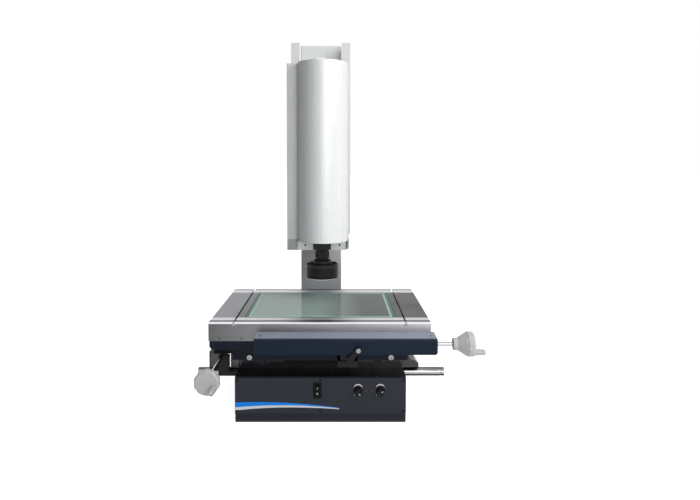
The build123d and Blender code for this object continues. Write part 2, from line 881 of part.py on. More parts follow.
def make_handwheel():
    """A cone-backed handwheel on +Z: hub at the origin, lobed rim at the far end."""
    rim_start = wheel_cone_length
    rim_end = wheel_cone_length + wheel_rim_width
    dish = wheel_radius * 0.86
    points = [(0, 0), (wheel_hub_radius - wheel_hub_chamfer, 0), (wheel_hub_radius, wheel_hub_chamfer),
              (wheel_hub_radius, wheel_cone_length * 0.3), (wheel_radius - wheel_rim_flare, rim_start),
              (wheel_radius, rim_start + 2), (wheel_radius, rim_end - 4), (dish, rim_end),
              (0, rim_end + wheel_dome)]
    wheel = turned(points)
    reach = wheel_radius + wheel_lobe_radius - wheel_lobe_bite
    for place in PolarLocations(reach, wheel_lobes):
        wheel -= Pos(0, 0, rim_end - wheel_rim_width * 0.4) * place * Cylinder(wheel_lobe_radius,
                                                                               wheel_rim_width * 1.6)
    bore = Pos(0, 0, wheel_bore_depth / 2) * Cylinder(rod_radius, wheel_bore_depth)
    seat_height = crank_seat_depth + 2
    pin_seat = Pos(crank_offset, 0, rim_end + 2 - seat_height / 2) * Cylinder(crank_pin_radius,
                                                                              seat_height)
    return wheel - bore - pin_seat


def make_crank_pin():
    """The steel pin of the crank handle, from the wheel's seat to the screw head at the tip."""
    rim_end = wheel_cone_length + wheel_rim_width
    start = rim_end - crank_pin_root
    length = crank_length + crank_pin_root + crank_gap - crank_tip_recess
    pin = Pos(crank_offset, 0, start + length / 2) * Cylinder(crank_pin_radius, length)
    cap_height = crank_tip_recess * 0.6
    cap = Pos(crank_offset, 0, start + length + cap_height / 2) * Cylinder(crank_pin_radius * 1.4,
                                                                           cap_height)
    return pin + cap


def make_crank_handle():
    """The tapered grip that turns on the crank pin, with a recess for the pin's head."""
    start = wheel_cone_length + wheel_rim_width + crank_gap
    end = start + crank_length
    inner = crank_pin_radius + running_gap
    recess = crank_pin_radius * 1.4 + crank_gap
    mouth = end - crank_tip_recess - crank_gap / 2
    points = [(inner, start), (crank_root_radius, start),
              (crank_root_radius * 0.94, start + crank_root_step),
              (crank_tip_radius, end - crank_tip_step), (crank_tip_radius - crank_tip_round, end),
              (recess, end), (recess, mouth), (inner, mouth)]
    return Pos(crank_offset, 0, 0) * turned(points)


def along_x(shape, angle):
    """Points a drive piece made on +Z along +X, turned so that its crank is at an angle."""
    y = table_front - x_box_depth / 2
    z = table_top - x_rod_drop
    return Pos(x_wheel_hub, y, z) * Rot(angle, 0, 0) * Rot(0, 90, 0) * shape


def along_y(shape, angle):
    """Points a drive piece made on +Z to the front, turned so that its crank is at an angle."""
    return Pos(-y_rod_offset, y_wheel_hub, y_rod_height) * Rot(0, angle, 0) * Rot(90, 0, 0) * shape


def make_x_rod():
    """The X rod, from the left bearing to the bore of its handwheel."""
    length = x_wheel_hub - x_box_left - x_box_wall - rail_gap
    return along_x(Pos(0, 0, -length) * make_rod(length + wheel_bore_depth), 0)


def make_y_rod():
    """The Y rod, from the rear bearing to the bore of its handwheel."""
    length = y_bearing_rear + rod_bearing_length - y_wheel_hub
    return along_y(Pos(0, 0, -length) * make_rod(length + wheel_bore_depth), 0)


def make_x_box():
    """The bent sheet housing of the X drive, open below, with a sloped top and end walls."""
    back = table_front
    front = table_front - x_box_depth
    top = table_top - x_box_top_drop
    bottom = table_top - x_box_bottom_drop
    slope_end = top - x_box_slope
    points = [(back, bottom), (back, top), (front, slope_end), (front, bottom)]
    outer = extrude(Plane.YZ.offset(x_box_left) * make_face(Polyline(*points, close=True)),
                    x_box_right - x_box_left)
    corner = outer.edges().filter_by(Axis.X).sort_by(lambda e: e.center().Z - e.center().Y)[-1]
    outer = fillet(corner, x_box_radius)
    ends = outer.faces().sort_by(Axis.X)
    low_corners = ends[-1].edges().filter_by(Axis.Y)
    outer = fillet(low_corners.sort_by(Axis.Z)[0], x_box_radius * 1.5)
    wall = x_box_wall
    inner_points = [(back - wall, bottom - 1), (back - wall, top - wall),
                    (front + wall, slope_end - wall),
                    (front + wall, bottom - 1)]
    inner = extrude(Plane.YZ.offset(x_box_left + wall) * make_face(Polyline(*inner_points, close=True)),
                    x_box_right - x_box_left - 2 * wall)
    y = table_front - x_box_depth / 2
    z = table_top - x_rod_drop
    box = outer - inner - bar_x(rod_radius + 0.6, x_box_right - 2 * wall, x_box_right + 1, y, z)
    for x in x_box_screw_places():
        box -= bar_z(panel_screw_radius, slope_end - 2 * wall, top + wall, x, y)
    return box


def x_box_screw_places():
    """The X of the two screws in the top of the X drive housing."""
    return (x_box_left + rod_bearing_length / 2 + x_box_wall,
            x_box_right - rod_bearing_length / 2 - x_box_wall)


def make_x_box_screws():
    """Two screws through the sloped top of the X drive housing into the bearing blocks."""
    y = table_front - x_box_depth / 2
    z = table_top - x_box_top_drop - x_box_slope / 2 + rail_gap
    screw = cap_screw(panel_screw_head_radius, panel_screw_head_height, panel_screw_radius,
                      x_box_wall * 2)
    return [Pos(x, y, z) * screw for x in x_box_screw_places()]


def make_x_rod_bearings():
    """Two bearing blocks inside the X drive housing, against its back wall."""
    back = table_front - x_box_wall
    middle = table_front - x_box_depth / 2
    z = table_top - x_rod_drop
    top = table_top - x_box_top_drop - x_box_slope - x_box_wall
    blocks = []
    for x0 in (x_box_left + x_box_wall, x_box_right - x_box_wall - rod_bearing_length):
        x1 = x0 + rod_bearing_length
        body = block(x0, x1, middle - rod_bearing_size / 2, back, z - rod_bearing_size / 2, top)
        body -= bar_x(rod_radius + running_gap, x0, x1, middle, z)
        body -= bar_z(panel_screw_radius + rail_gap, top - x_box_wall * 2, top, (x0 + x1) / 2, middle)
        blocks.append(body)
    return blocks


def make_x_nut():
    """The X drive nut on its bracket, which reaches forward from under the saddle's front edge."""
    y = table_front - x_box_depth / 2
    z = table_top - x_rod_drop
    half = rod_bearing_size * 0.6
    x0 = x_nut_offset
    x1 = x_nut_offset + x_nut_length
    saddle_front = saddle_centre - saddle_length / 2
    nut = block(x0, x1, y - half, y + half, z - half, z + half)
    nut = fillet(nut.edges().filter_by(Axis.X).group_by(Axis.Z)[-1], half * 0.4)
    neck = block(x0 + half / 2, x1 - half / 2, y - x_neck_depth / 2, y + x_neck_depth / 2,
                 saddle_bottom + 2, z - half)
    foot = block(x0, x1, y - half, saddle_front, saddle_bottom + 2, saddle_top - 2)
    bracket = nut + neck + foot
    return bracket - bar_x(rod_radius + running_gap, x0, x1, y, z)


def lever_centre():
    """The pivot of the release lever: X, the front of the nut's neck, and a level below the X housing."""
    y = table_front - x_box_depth / 2 - x_neck_depth / 2
    z = table_top - x_box_bottom_drop - lever_hub_radius - lever_clearance
    return x_nut_offset + x_nut_length * 0.6, y, z


def make_lever_pin():
    """The steel pin that stands forward from the bracket and carries the release lever."""
    x, y, z = lever_centre()
    return bar_y(lever_pin_radius, lever_front(), y, x, z)


def lever_front():
    """The front plane of the release lever."""
    return table_front - x_box_depth - rail_gap * 4 - lever_thickness


def make_release_lever():
    """The black release lever: a hub on its pin and an arm that tapers to the grip."""
    x, y, z = lever_centre()
    tip_radius = lever_grip_radius * 0.75
    hub = Circle(lever_hub_radius)
    tip = Pos(lever_reach, 0) * Circle(tip_radius)
    arm = extrude(make_hull((hub + tip).edges()), lever_thickness)
    arm = Rot(0, 0, lever_rest_angle) * arm
    lever = Pos(x, lever_front() + lever_thickness, z) * Rot(90, 0, 0) * arm
    back_hub = bar_y(lever_hub_radius, lever_front() + lever_thickness, y - rail_gap, x, z)
    return lever + back_hub - bar_y(lever_pin_radius + running_gap, lever_front() - 1, y, x, z)


def make_lever_grip():
    """The bright faceted grip at the lever's tip."""
    x, y, z = lever_centre()
    angle = math.radians(lever_rest_angle)
    reach = lever_reach
    grip = extrude(RegularPolygon(lever_grip_radius, 8), lever_grip_length)
    grip = chamfer(grip.faces().sort_by(Axis.Z)[-1].edges(), 1.0)
    return facing_front(grip, x + reach * math.cos(angle), lever_front(), z + reach * math.sin(angle))


# Table
def make_table_frame():
    """The stage plate: a stepped window for the glass, two T slots along Y and two grooves along X."""
    half = table_width / 2
    frame = block(-half, half, table_front, table_rear, sub_top, table_top)
    frame = chamfer(frame.edges().filter_by(Axis.Z), base_chamfer)
    frame = chamfer(frame.edges().group_by(Axis.Z)[-1], table_edge)
    frame -= glass_pocket(0, glass_bottom, table_top)
    frame -= glass_pocket(glass_ledge, sub_top, glass_bottom)
    for x in (-slot_offset, slot_offset):
        frame -= slot_bar(x, table_front, table_rear, 0)
    for y in (table_front + cross_groove_inset, table_rear - cross_groove_inset):
        frame -= block(-half, half, y, y + cross_groove_width, table_top - cross_groove_depth, table_top)
    for x in accessory_hole_places():
        frame -= bar_y(accessory_hole_radius, table_front, table_front + accessory_hole_depth, x,
                       sub_top + accessory_hole_rise)
    return frame


def glass_pocket(inset, z0, z1):
    """The glass outline as a block between two levels, drawn in by an inset."""
    half_x = glass_width / 2 - inset
    half_y = glass_depth / 2 - inset
    return block(-half_x, half_x, table_centre - half_y, table_centre + half_y, z0, z1)


def slot_bar(x, y0, y1, gap):
    """A bar of the T slot's section between two planes, smaller than the slot by a gap all round."""
    neck = slot_neck / 2 - gap
    head = slot_head / 2 - gap
    shoulder = table_top - slot_neck_depth - gap
    floor = table_top - slot_neck_depth - slot_head_depth + gap
    top = table_top - gap
    points = [(x - neck, top), (x + neck, top), (x + neck, shoulder), (x + head, shoulder),
              (x + head, floor),
              (x - head, floor), (x - head, shoulder), (x - neck, shoulder)]
    return extrude(Plane.XZ.offset(-y0) * make_face(Polyline(*points, close=True)), -(y1 - y0))


def accessory_hole_places():
    """The X of the two threaded holes in the table's front face."""
    first = -table_width / 2 + accessory_hole_inset
    return (first, first + accessory_hole_pitch)


def make_stage_glass():
    """The glass plate of the stage, with ground edges."""
    plate = glass_pocket(glass_gap, glass_bottom, glass_top)
    return chamfer(plate.edges(), glass_gap)


def make_slot_stops():
    """Two small steel stops in the front ends of the T slots."""
    start = table_front + slot_stop_inset
    return [slot_bar(x, start, start + slot_stop_length, slot_stop_gap) for x in (-slot_offset,
                                                                                  slot_offset)]


def make_sub_plate():
    """The blue plate under the table: chamfered lower ends and a window as wide as the table's."""
    half = table_width / 2 - sub_plate_inset
    y0 = table_front + sub_plate_inset
    y1 = table_rear - sub_plate_inset
    plate = block(-half, half, y0, y1, sub_bottom, sub_top)
    ends = plate.edges().filter_by(Axis.Y).group_by(Axis.Z)[0]
    plate = chamfer(ends, sub_plate_chamfer)
    return plate - glass_pocket(glass_ledge, sub_bottom, sub_top)


def make_x_runners():
    """Two runners under the sub-plate, one on the outer side of each X rail."""
    length = table_width - 4 * sub_plate_inset - 2 * sub_plate_chamfer
    runners = []
    for side in (-1, 1):
        runner = Pos(-length / 2, 0, 0) * Rot(0, 0, -90) * guide_runner(length, -side)
        runners.append(Pos(0, saddle_centre + side * x_rail_offset, saddle_top) * runner)
    return runners


def make_x_reader():
    """The reader head under the back of the sub-plate, above the X scale."""
    y1 = table_rear - sub_plate_inset
    y0 = saddle_centre + x_rail_offset + rail_width * 1.5 + 2 * rail_gap
    return block(-rod_bearing_size, rod_bearing_size, y0, y1, saddle_top + y_scale_clearance, sub_bottom)


# Column
def make_column():
    """The hollow cast column with its foot flange and cable window at the back."""
    x0 = column_centre - column_width / 2
    x1 = column_centre + column_width / 2
    y1 = column_front + column_depth
    body_top = column_top - column_cap_height
    shaft = block(x0, x1, column_front, y1, base_height, body_top)
    shaft = fillet(shaft.edges().filter_by(Axis.Z), column_corner)
    shaft -= block(x0 + column_wall, x1 - column_wall, column_front + column_wall, y1 - column_wall,
                   base_height, body_top)
    foot = block(x0 - column_foot_spread, x1 + column_foot_spread, column_front - column_foot_spread,
                 y1 + column_foot_spread, base_height, base_height + column_foot_height)
    foot = fillet(foot.edges().filter_by(Axis.Z), column_foot_spread * 0.4)
    foot = chamfer(foot.edges().group_by(Axis.Z)[-1], base_chamfer)
    column = shaft + foot
    for x, y in column_bolt_places():
        column -= bar_z(column_bolt_radius, base_height, base_height + column_foot_height, x, y)
    for side in (-1, 1):
        for y in (column_front + column_depth * 0.3, column_front + column_depth * 0.7):
            column += column_gusset(side, y)
    return column


def column_gusset(side, y):
    """A triangular rib between the column's side and its foot."""
    face = column_centre + side * column_width / 2
    level = base_height + column_foot_height
    reach = side * column_foot_spread * 0.45
    points = [(face, level), (face + reach, level), (face, level + column_foot_spread * 2)]
    outline = make_face(Polyline(*points, close=True))
    return extrude(Plane.XZ.offset(-y) * outline, -base_rib)


def column_bolt_places():
    """Six bolts round the column's foot."""
    reach_x = column_width / 2 + column_foot_spread * 0.55
    front = column_front - column_foot_spread * 0.45
    rear = column_front + column_depth + column_foot_spread * 0.45
    middle = column_front + column_depth / 2
    corners = [(column_centre + side * reach_x, y) for side in (-1, 1) for y in (front, middle, rear)]
    return corners


def make_column_bolts():
    """The cap screws that hold the column on the base."""
    bolt = cap_screw(column_bolt_head, column_bolt_head_height, column_bolt_radius, column_foot_height)
    return [Pos(x, y, base_height + column_foot_height) * bolt for x, y in column_bolt_places()]


def make_column_cap():
    """The flat cap on top of the column."""
    x0 = column_centre - column_width / 2
    x1 = column_centre + column_width / 2
    cap = block(x0, x1, column_front, column_front + column_depth, column_top - column_cap_height,
                column_top)
    cap = fillet(cap.edges().filter_by(Axis.Z), column_corner)
    return chamfer(cap.edges().group_by(Axis.Z)[-1], column_cap_height / 3)


def side_cover_front():
    """The front plane of the column's side covers."""
    return column_front - side_cover_depth - side_cover_sheet * 4


def make_side_covers():
    """Two bent sheet covers beside the column: a front flange and an outer wall each."""
    covers = []
    y0 = side_cover_front()
    y1 = column_front + side_cover_depth / 2
    inner = side_cover_outer - side_cover_width
    for side in (-1, 1):
        points = [(inner, y0), (side_cover_outer, y0), (side_cover_outer, y1),
                  (side_cover_outer - side_cover_sheet, y1),
                  (side_cover_outer - side_cover_sheet, y0 + side_cover_sheet), (inner,
                                                                                 y0 + side_cover_sheet)]
        placed = [(column_centre + side * x, y) for x, y in points]
        sheet = extrude(make_face(Polyline(*placed, close=True)),
                        column_top - base_chamfer - side_cover_bottom)
        covers.append(Pos(0, 0, side_cover_bottom) * sheet)
    return covers


def make_cover_brackets():
    """Four brackets between the column's sides and the outer walls of the side covers."""
    brackets = []
    for side in (-1, 1):
        inner = column_centre + side * column_width / 2
        outer = column_centre + side * (side_cover_outer - side_cover_sheet)
        for z in (side_cover_bottom + side_bracket_height, frame_top + side_bracket_height):
            bracket = block(*sorted((inner, outer)), column_front + column_corner,
                            column_front + side_cover_depth / 2, z, z + side_bracket_height)
            bore_y = column_front + side_cover_depth / 4 + column_corner / 2
            hollow = block(*sorted((inner + side * 4, outer - side * 4)), bore_y - 4, bore_y + 4, z,
                           z + side_bracket_height)
            brackets.append(bracket - hollow)
    return brackets


# Z guide
def make_z_rails():
    """Two linear rails on the column's front face, with waisted flanks and screw counterbores."""
    half = z_rail_width / 2
    waist = half * 0.72
    depth = z_rail_depth
    points = [(-half, 0), (half, 0), (half, depth * 0.3), (waist, depth * 0.45), (waist, depth * 0.65),
              (half, depth * 0.85), (half, depth), (-half, depth), (-half, depth * 0.85), (-waist,
                                                                                           depth * 0.65),
              (-waist, depth * 0.45), (-half, depth * 0.3)]
    rails = []
    for side in (-1, 1):
        placed = [(column_centre + side * z_rail_offset + x, column_front - y) for x, y in points]
        rail = extrude(make_face(Polyline(*placed, close=True)), z_rail_top - z_rail_bottom)
        rails.append(Pos(0, 0, z_rail_bottom) * rail)
    return rails


def make_z_blocks():
    """Four carriages that wrap the Z rails and carry the head frame."""
    blocks = []
    middle = (frame_bottom + frame_top) / 2
    front = frame_rear_y()
    back = column_front - z_block_foot_gap
    for side in (-1, 1):
        x = column_centre + side * z_rail_offset
        for z in (middle - z_block_span / 2, middle + z_block_span / 2):
            body = block(x - z_block_width / 2, x + z_block_width / 2, front, back,
                         z - z_block_length / 2, z + z_block_length / 2)
            body = chamfer(body.edges().filter_by(Axis.Z).group_by(Axis.Y)[-1], 2)
            channel = block(x - z_rail_width / 2 - rail_gap, x + z_rail_width / 2 + rail_gap,
                            column_front - z_rail_depth - rail_gap, back,
                            z - z_block_length, z + z_block_length)
            blocks.append(body - channel)
    return blocks


def frame_rear_y():
    """The rear plane of the head frame's back plate, where the carriages sit."""
    return column_front - z_block_foot_gap - z_block_height


def z_screw_y():
    """The Y of the Z screw's axis, between the column and the head frame."""
    return column_front - z_screw_axis_gap


def make_z_screw():
    """The Z screw, from the motor to the top of the upper bearing."""
    low = z_motor_bottom + z_motor_height
    return bar_z(z_screw_radius, low, z_rail_top, column_centre, z_screw_y())


def make_z_bearings():
    """The two bearing blocks of the Z screw, on the column's front face."""
    blocks = []
    half = z_motor_side / 2 - z_bearing_trim
    for z in (z_motor_bottom + z_motor_height, z_rail_top - z_bearing_height):
        body = block(column_centre - half, column_centre + half, z_screw_y() - half, column_front,
                     z, z + z_bearing_height)
        body = chamfer(body.edges().filter_by(Axis.Z).group_by(Axis.Y)[0], 3)
        blocks.append(body - bar_z(z_screw_radius + running_gap, z, z + z_bearing_height,
                                   column_centre, z_screw_y()))
    return blocks


def make_z_motor():
    """The stepping motor under the lower bearing: a square body with bevelled corners."""
    half = z_motor_side / 2
    y = z_screw_y()
    body = block(column_centre - half, column_centre + half, y - half, y + half, z_motor_bottom,
                 z_motor_bottom + z_motor_height)
    body = chamfer(body.edges().filter_by(Axis.Z), half * 0.2)
    band = z_motor_height * 0.2
    waist = block(column_centre - half, column_centre + half, y - half, y + half,
                  z_motor_bottom + band, z_motor_bottom + z_motor_height - band)
    core = block(column_centre - half + 1, column_centre + half - 1, y - half + 1, y + half - 1,
                 z_motor_bottom + band, z_motor_bottom + z_motor_height - band)
    body -= waist - chamfer(core.edges().filter_by(Axis.Z), half * 0.2)
    shelf = block(column_centre - half * 0.7, column_centre + half * 0.7, y + half, column_front,
                  z_motor_bottom, z_motor_bottom + z_motor_height)
    return body + shelf


def make_z_nut():
    """The Z nut: a wide flange across the two back strips of the head frame, with a round-edged body."""
    middle = (frame_bottom + frame_top) / 2
    low = middle - z_nut_height / 2
    high = middle + z_nut_height / 2
    y0 = frame_rear_y()
    half = z_screw_radius * 2.6
    flange = block(column_centre - z_nut_width / 2, column_centre + z_nut_width / 2, y0,
                   y0 + z_nut_flange, low, high)
    body = block(column_centre - half, column_centre + half, y0, z_screw_y() + z_screw_radius * 2,
                 low, high)
    body = fillet(body.edges().filter_by(Axis.Z).group_by(Axis.Y)[-1], half * 0.4)
    return flange + body - bar_z(z_screw_radius + running_gap, low, high, column_centre, z_screw_y())


# Head
def make_head_frame():
    """The cast head frame: two back strips past the screw bearings, two windowed webs, a front plate."""
    x0 = column_centre - frame_width / 2
    x1 = column_centre + frame_width / 2
    rear = frame_rear_y()
    front = head_strip_front + head_sheet
    frame = block(x0, x1, rear - frame_plate, rear, frame_bottom, frame_top)
    frame -= block(column_centre - frame_window / 2, column_centre + frame_window / 2,
                   rear - frame_plate, rear,
                   frame_bottom, frame_top)
    frame += block(x0, x1, front, front + frame_plate, frame_bottom, frame_top)
    frame += block(x0, x1, front, front + frame_plate, head_bottom + end_cap_height, frame_bottom)
    web_y0 = front + frame_plate
    web_y1 = rear - frame_plate
    for x in (x0, x1 - frame_web):
        web = block(x, x + frame_web, web_y0, web_y1, frame_bottom, frame_top)
        pitch = (frame_top - frame_bottom) / frame_web_count
        for index in range(frame_web_count):
            z = frame_bottom + pitch * (index + 0.5)
            window = block(x, x + frame_web, web_y0 + frame_web_edge, web_y1 - frame_web_edge,
                           z - pitch * 0.34, z + pitch * 0.34)
            web -= fillet(window.edges().filter_by(Axis.X), frame_web_round)
        frame += web
    return frame


def make_head_front():
    """The front sheet of the head, with its bent edges, from the seam to the top."""
    y0 = head_strip_front
    sheet = block(head_left_x, head_right_x, y0, y0 + head_sheet, head_bottom + end_cap_height, head_top)
    left = head_left_x
    sheet += block(left, left + head_sheet, y0, y0 + head_sheet * 4, head_bottom + end_cap_height,
                   head_top)
    right = head_right_x
    sheet += block(right - head_sheet, right, y0, y0 + head_sheet * 4, head_bottom + end_cap_height,
                   head_top)
    return fillet(sheet.edges().filter_by(Axis.Z).group_by(Axis.Y)[0], head_sheet * 0.6)


def make_head_panel(side):
    """A side panel of the head, with louvres near its top; side is -1 for left, 1 for right."""
    edge = head_left_x if side < 0 else head_right_x
    inner = edge - side * head_sheet
    y0 = head_strip_front + head_sheet * 4
    panel = block(*sorted((edge, inner)), y0, head_panel_rear, head_bottom, head_top)
    for step in range(louvre_count):
        z = head_top - louvre_top - step * louvre_pitch
        louvre = block(*sorted((edge, inner)), y0 + louvre_front, head_panel_rear - louvre_rear, z,
                       z + louvre_tall)
        panel -= fillet(louvre.edges().filter_by(Axis.X), louvre_round)
    ledge = edge - side * head_sheet * 4
    panel += block(*sorted((inner, ledge)), head_panel_rear - head_sheet, head_panel_rear,
                   head_bottom, head_top)
    return panel


def make_head_top():
    """The top sheet of the head."""
    y0 = head_strip_front + head_sheet
    top = block(head_left_x + head_sheet, head_right_x - head_sheet, y0, head_panel_rear - head_sheet,
                head_top - head_sheet, head_top)
    return top


def make_end_cap():
    """The lower end piece of the left strip, below its seam."""
    x0 = head_left_x
    cap = block(x0, x0 + head_strip_width, head_strip_front, head_strip_front + head_sheet * 4,
                head_bottom, head_bottom + end_cap_height)
    return fillet(cap.edges().filter_by(Axis.Z).group_by(Axis.Y)[0], head_sheet * 0.6)


def lens_plate_edges():
    """The left and right edge of the lens plate."""
    return head_left_x + head_strip_width, head_right_x - head_sheet * 3


def make_lens_plate():
    """The bottom plate that carries the lens clamp, with two screw holes."""
    x0, x1 = lens_plate_edges()
    y0 = head_strip_front
    plate = block(x0, x1, y0, y0 + frame_plate, head_bottom, head_bottom + end_cap_height)
    for x in lens_plate_screw_places():
        plate -= bar_y(panel_screw_radius, y0, y0 + panel_screw_length, x, lens_plate_screw_level())
    return plate


def lens_plate_screw_places():
    """The X of the two screws in the lens plate, left and right of the lens."""
    return (-clamp_width, clamp_width)


def lens_plate_screw_level():
    """The height of the lens plate's screws."""
    return head_bottom + end_cap_height * 0.45


def make_lens_plate_screws():
    """The two screws of the lens plate."""
    screw = cap_screw(panel_screw_head_radius, panel_screw_head_height, panel_screw_radius,
                      panel_screw_length)
    return [facing_front(screw, x, head_strip_front,
                         lens_plate_screw_level()) for x in lens_plate_screw_places()]


def make_cover():
    """The half-round extruded cover, with an inner lip along each long edge and a closed top."""
    outer = half_round(cover_radius)
    inner = half_round(cover_radius - cover_wall)
    height = head_top - cover_bottom
    shell = extrude(outer, height) - extrude(inner, height - cover_wall)
    cover = Pos(0, cover_centre_y, cover_bottom) * shell
    for side in (-1, 1):
        x0 = side * (cover_radius - cover_wall - cover_lip)
        x1 = side * (cover_radius - cover_wall * 0.8)
        cover += block(*sorted((x0, x1)), cover_centre_y - cover_wall, cover_centre_y, cover_bottom,
                       head_top - cover_wall)
    return cover


def half_round(radius):
    """A half disc in front of the X axis."""
    arc = ThreePointArc((-radius, 0), (0, -radius), (radius, 0))
    return make_face(arc + Line((radius, 0), (-radius, 0)))


def make_lens_clamp():
    """The black clamp block that holds the zoom lens in front of the lens plate."""
    half = clamp_width / 2
    block_front = -clamp_depth / 2
    body = block(-half, half, block_front, head_strip_front, clamp_bottom, clamp_bottom + clamp_height)
    body = chamfer(body.edges().filter_by(Axis.Z).group_by(Axis.Y)[0], clamp_chamfer)
    body -= bar_z(lens_radius, clamp_bottom, clamp_bottom + clamp_height, 0, 0)
    split = block(-clamp_split / 2, clamp_split / 2, block_front, 0, clamp_bottom,
                  clamp_bottom + clamp_height)
    return body - split


def make_zoom_lens():
    """The zoom lens body: a stepped barrel from the zoom ring up to the camera."""
    low = clamp_bottom
    top = low + lens_body_length
    step = clamp_bottom + clamp_height
    waist = lens_body_radius - lens_waist_step
    mount = lens_body_radius - lens_mount_step
    points = [(0, low), (lens_radius, low), (lens_radius, step), (lens_body_radius, step + 2),
              (lens_body_radius, top - lens_taper_start), (waist, top - lens_taper_end),
              (waist, top - lens_waist_length), (mount, top - lens_mount_length), (mount, top), (0, top)]
    body = turned(points)
    core = bar_z(lens_core_radius, collar_top - collar_height, low, 0, 0)
    return body + core


def make_zoom_ring():
    """The knurled zoom ring below the clamp, turning on the lens core."""
    z0 = collar_top
    z1 = clamp_bottom - rail_gap
    ring = bar_z(lens_radius, z0 + rail_gap, z1, 0, 0)
    ring = chamfer(ring.edges(), zoom_ring_chamfer)
    height = z1 - z0
    for place in PolarLocations(lens_radius + 0.5, zoom_grooves):
        ring -= Pos(0, 0, z0 + height * 0.55) * place * Cylinder(zoom_groove_radius, height * 0.45)
    return ring - bar_z(lens_core_radius + running_gap, z0, z1, 0, 0)


def make_camera():
    """The camera on top of the zoom lens: a square case with cooling grooves."""
    half = camera_size / 2
    z0 = clamp_bottom + lens_body_length
    case = block(-half, half, -half, half, z0, z0 + camera_length)
    case = fillet(case.edges().filter_by(Axis.Z), camera_corner)
    for step in range(camera_groove_count):
        z = z0 + camera_groove_start + step * camera_groove_pitch
        case -= block(-half, half, -half, -half + camera_groove_depth, z, z + camera_groove_tall)
    return case


def make_ring_collar():
    """The flared collar that clamps the ring light to the lens core."""
    z0 = collar_top - collar_height
    points = [(lens_core_radius, z0), (collar_radius, z0), (collar_radius, z0 + collar_height * 0.6),
              (collar_neck_radius, collar_top), (lens_core_radius, collar_top)]
    return turned(points)


def make_ring_light():
    """The ring light housing: a drum with a stepped bore and an angled lamp seat below."""
    z0 = ring_bottom
    z1 = ring_top
    edge = ring_radius
    points = [(ring_aperture, z0 + ring_lip + ring_seat_height),
              (ring_aperture + ring_seat_width, z0 + ring_lip),
              (edge - ring_foot_width, z0), (edge, z0 + ring_foot_rise), (edge, z1 - ring_shoulder),
              (edge - ring_shoulder, z1), (lens_core_radius, z1), (lens_core_radius, z1 - ring_top_plate),
              (ring_aperture, z1 - ring_top_plate)]
    ring = turned(points)
    for x, y in ring_screw_places():
        ring -= bar_z(ring_screw_radius, z1 - ring_screw_length, z1, x, y)
    return ring


def ring_screw_places():
    """The X and Y of the screws round the top of the ring light."""
    radius = (collar_radius + ring_radius) / 2 + 1
    angles = [math.radians(angle) for angle in ring_screw_angles]
    return [(radius * math.cos(angle), radius * math.sin(angle)) for angle in angles]


def make_ring_lamps():
    """The angled diffuser band of the ring light, round the lens opening."""
    z0 = ring_bottom
    inner_x = ring_aperture + ring_seat_width
    outer_x = ring_radius - ring_foot_width
    points = [(inner_x, z0 + lamp_inner_top), (inner_x, z0 + lamp_inner_bottom),
              (outer_x, z0 - lamp_outer_bottom), (outer_x, z0 - lamp_outer_top)]
    return turned(points)


def make_ring_screws():
    """Three screws round the top of the ring light."""
    screw = cap_screw(ring_screw_radius * 2, ring_screw_radius * 1.6, ring_screw_radius,
                      ring_screw_length)
    return [Pos(x, y, ring_top) * screw for x, y in ring_screw_places()]


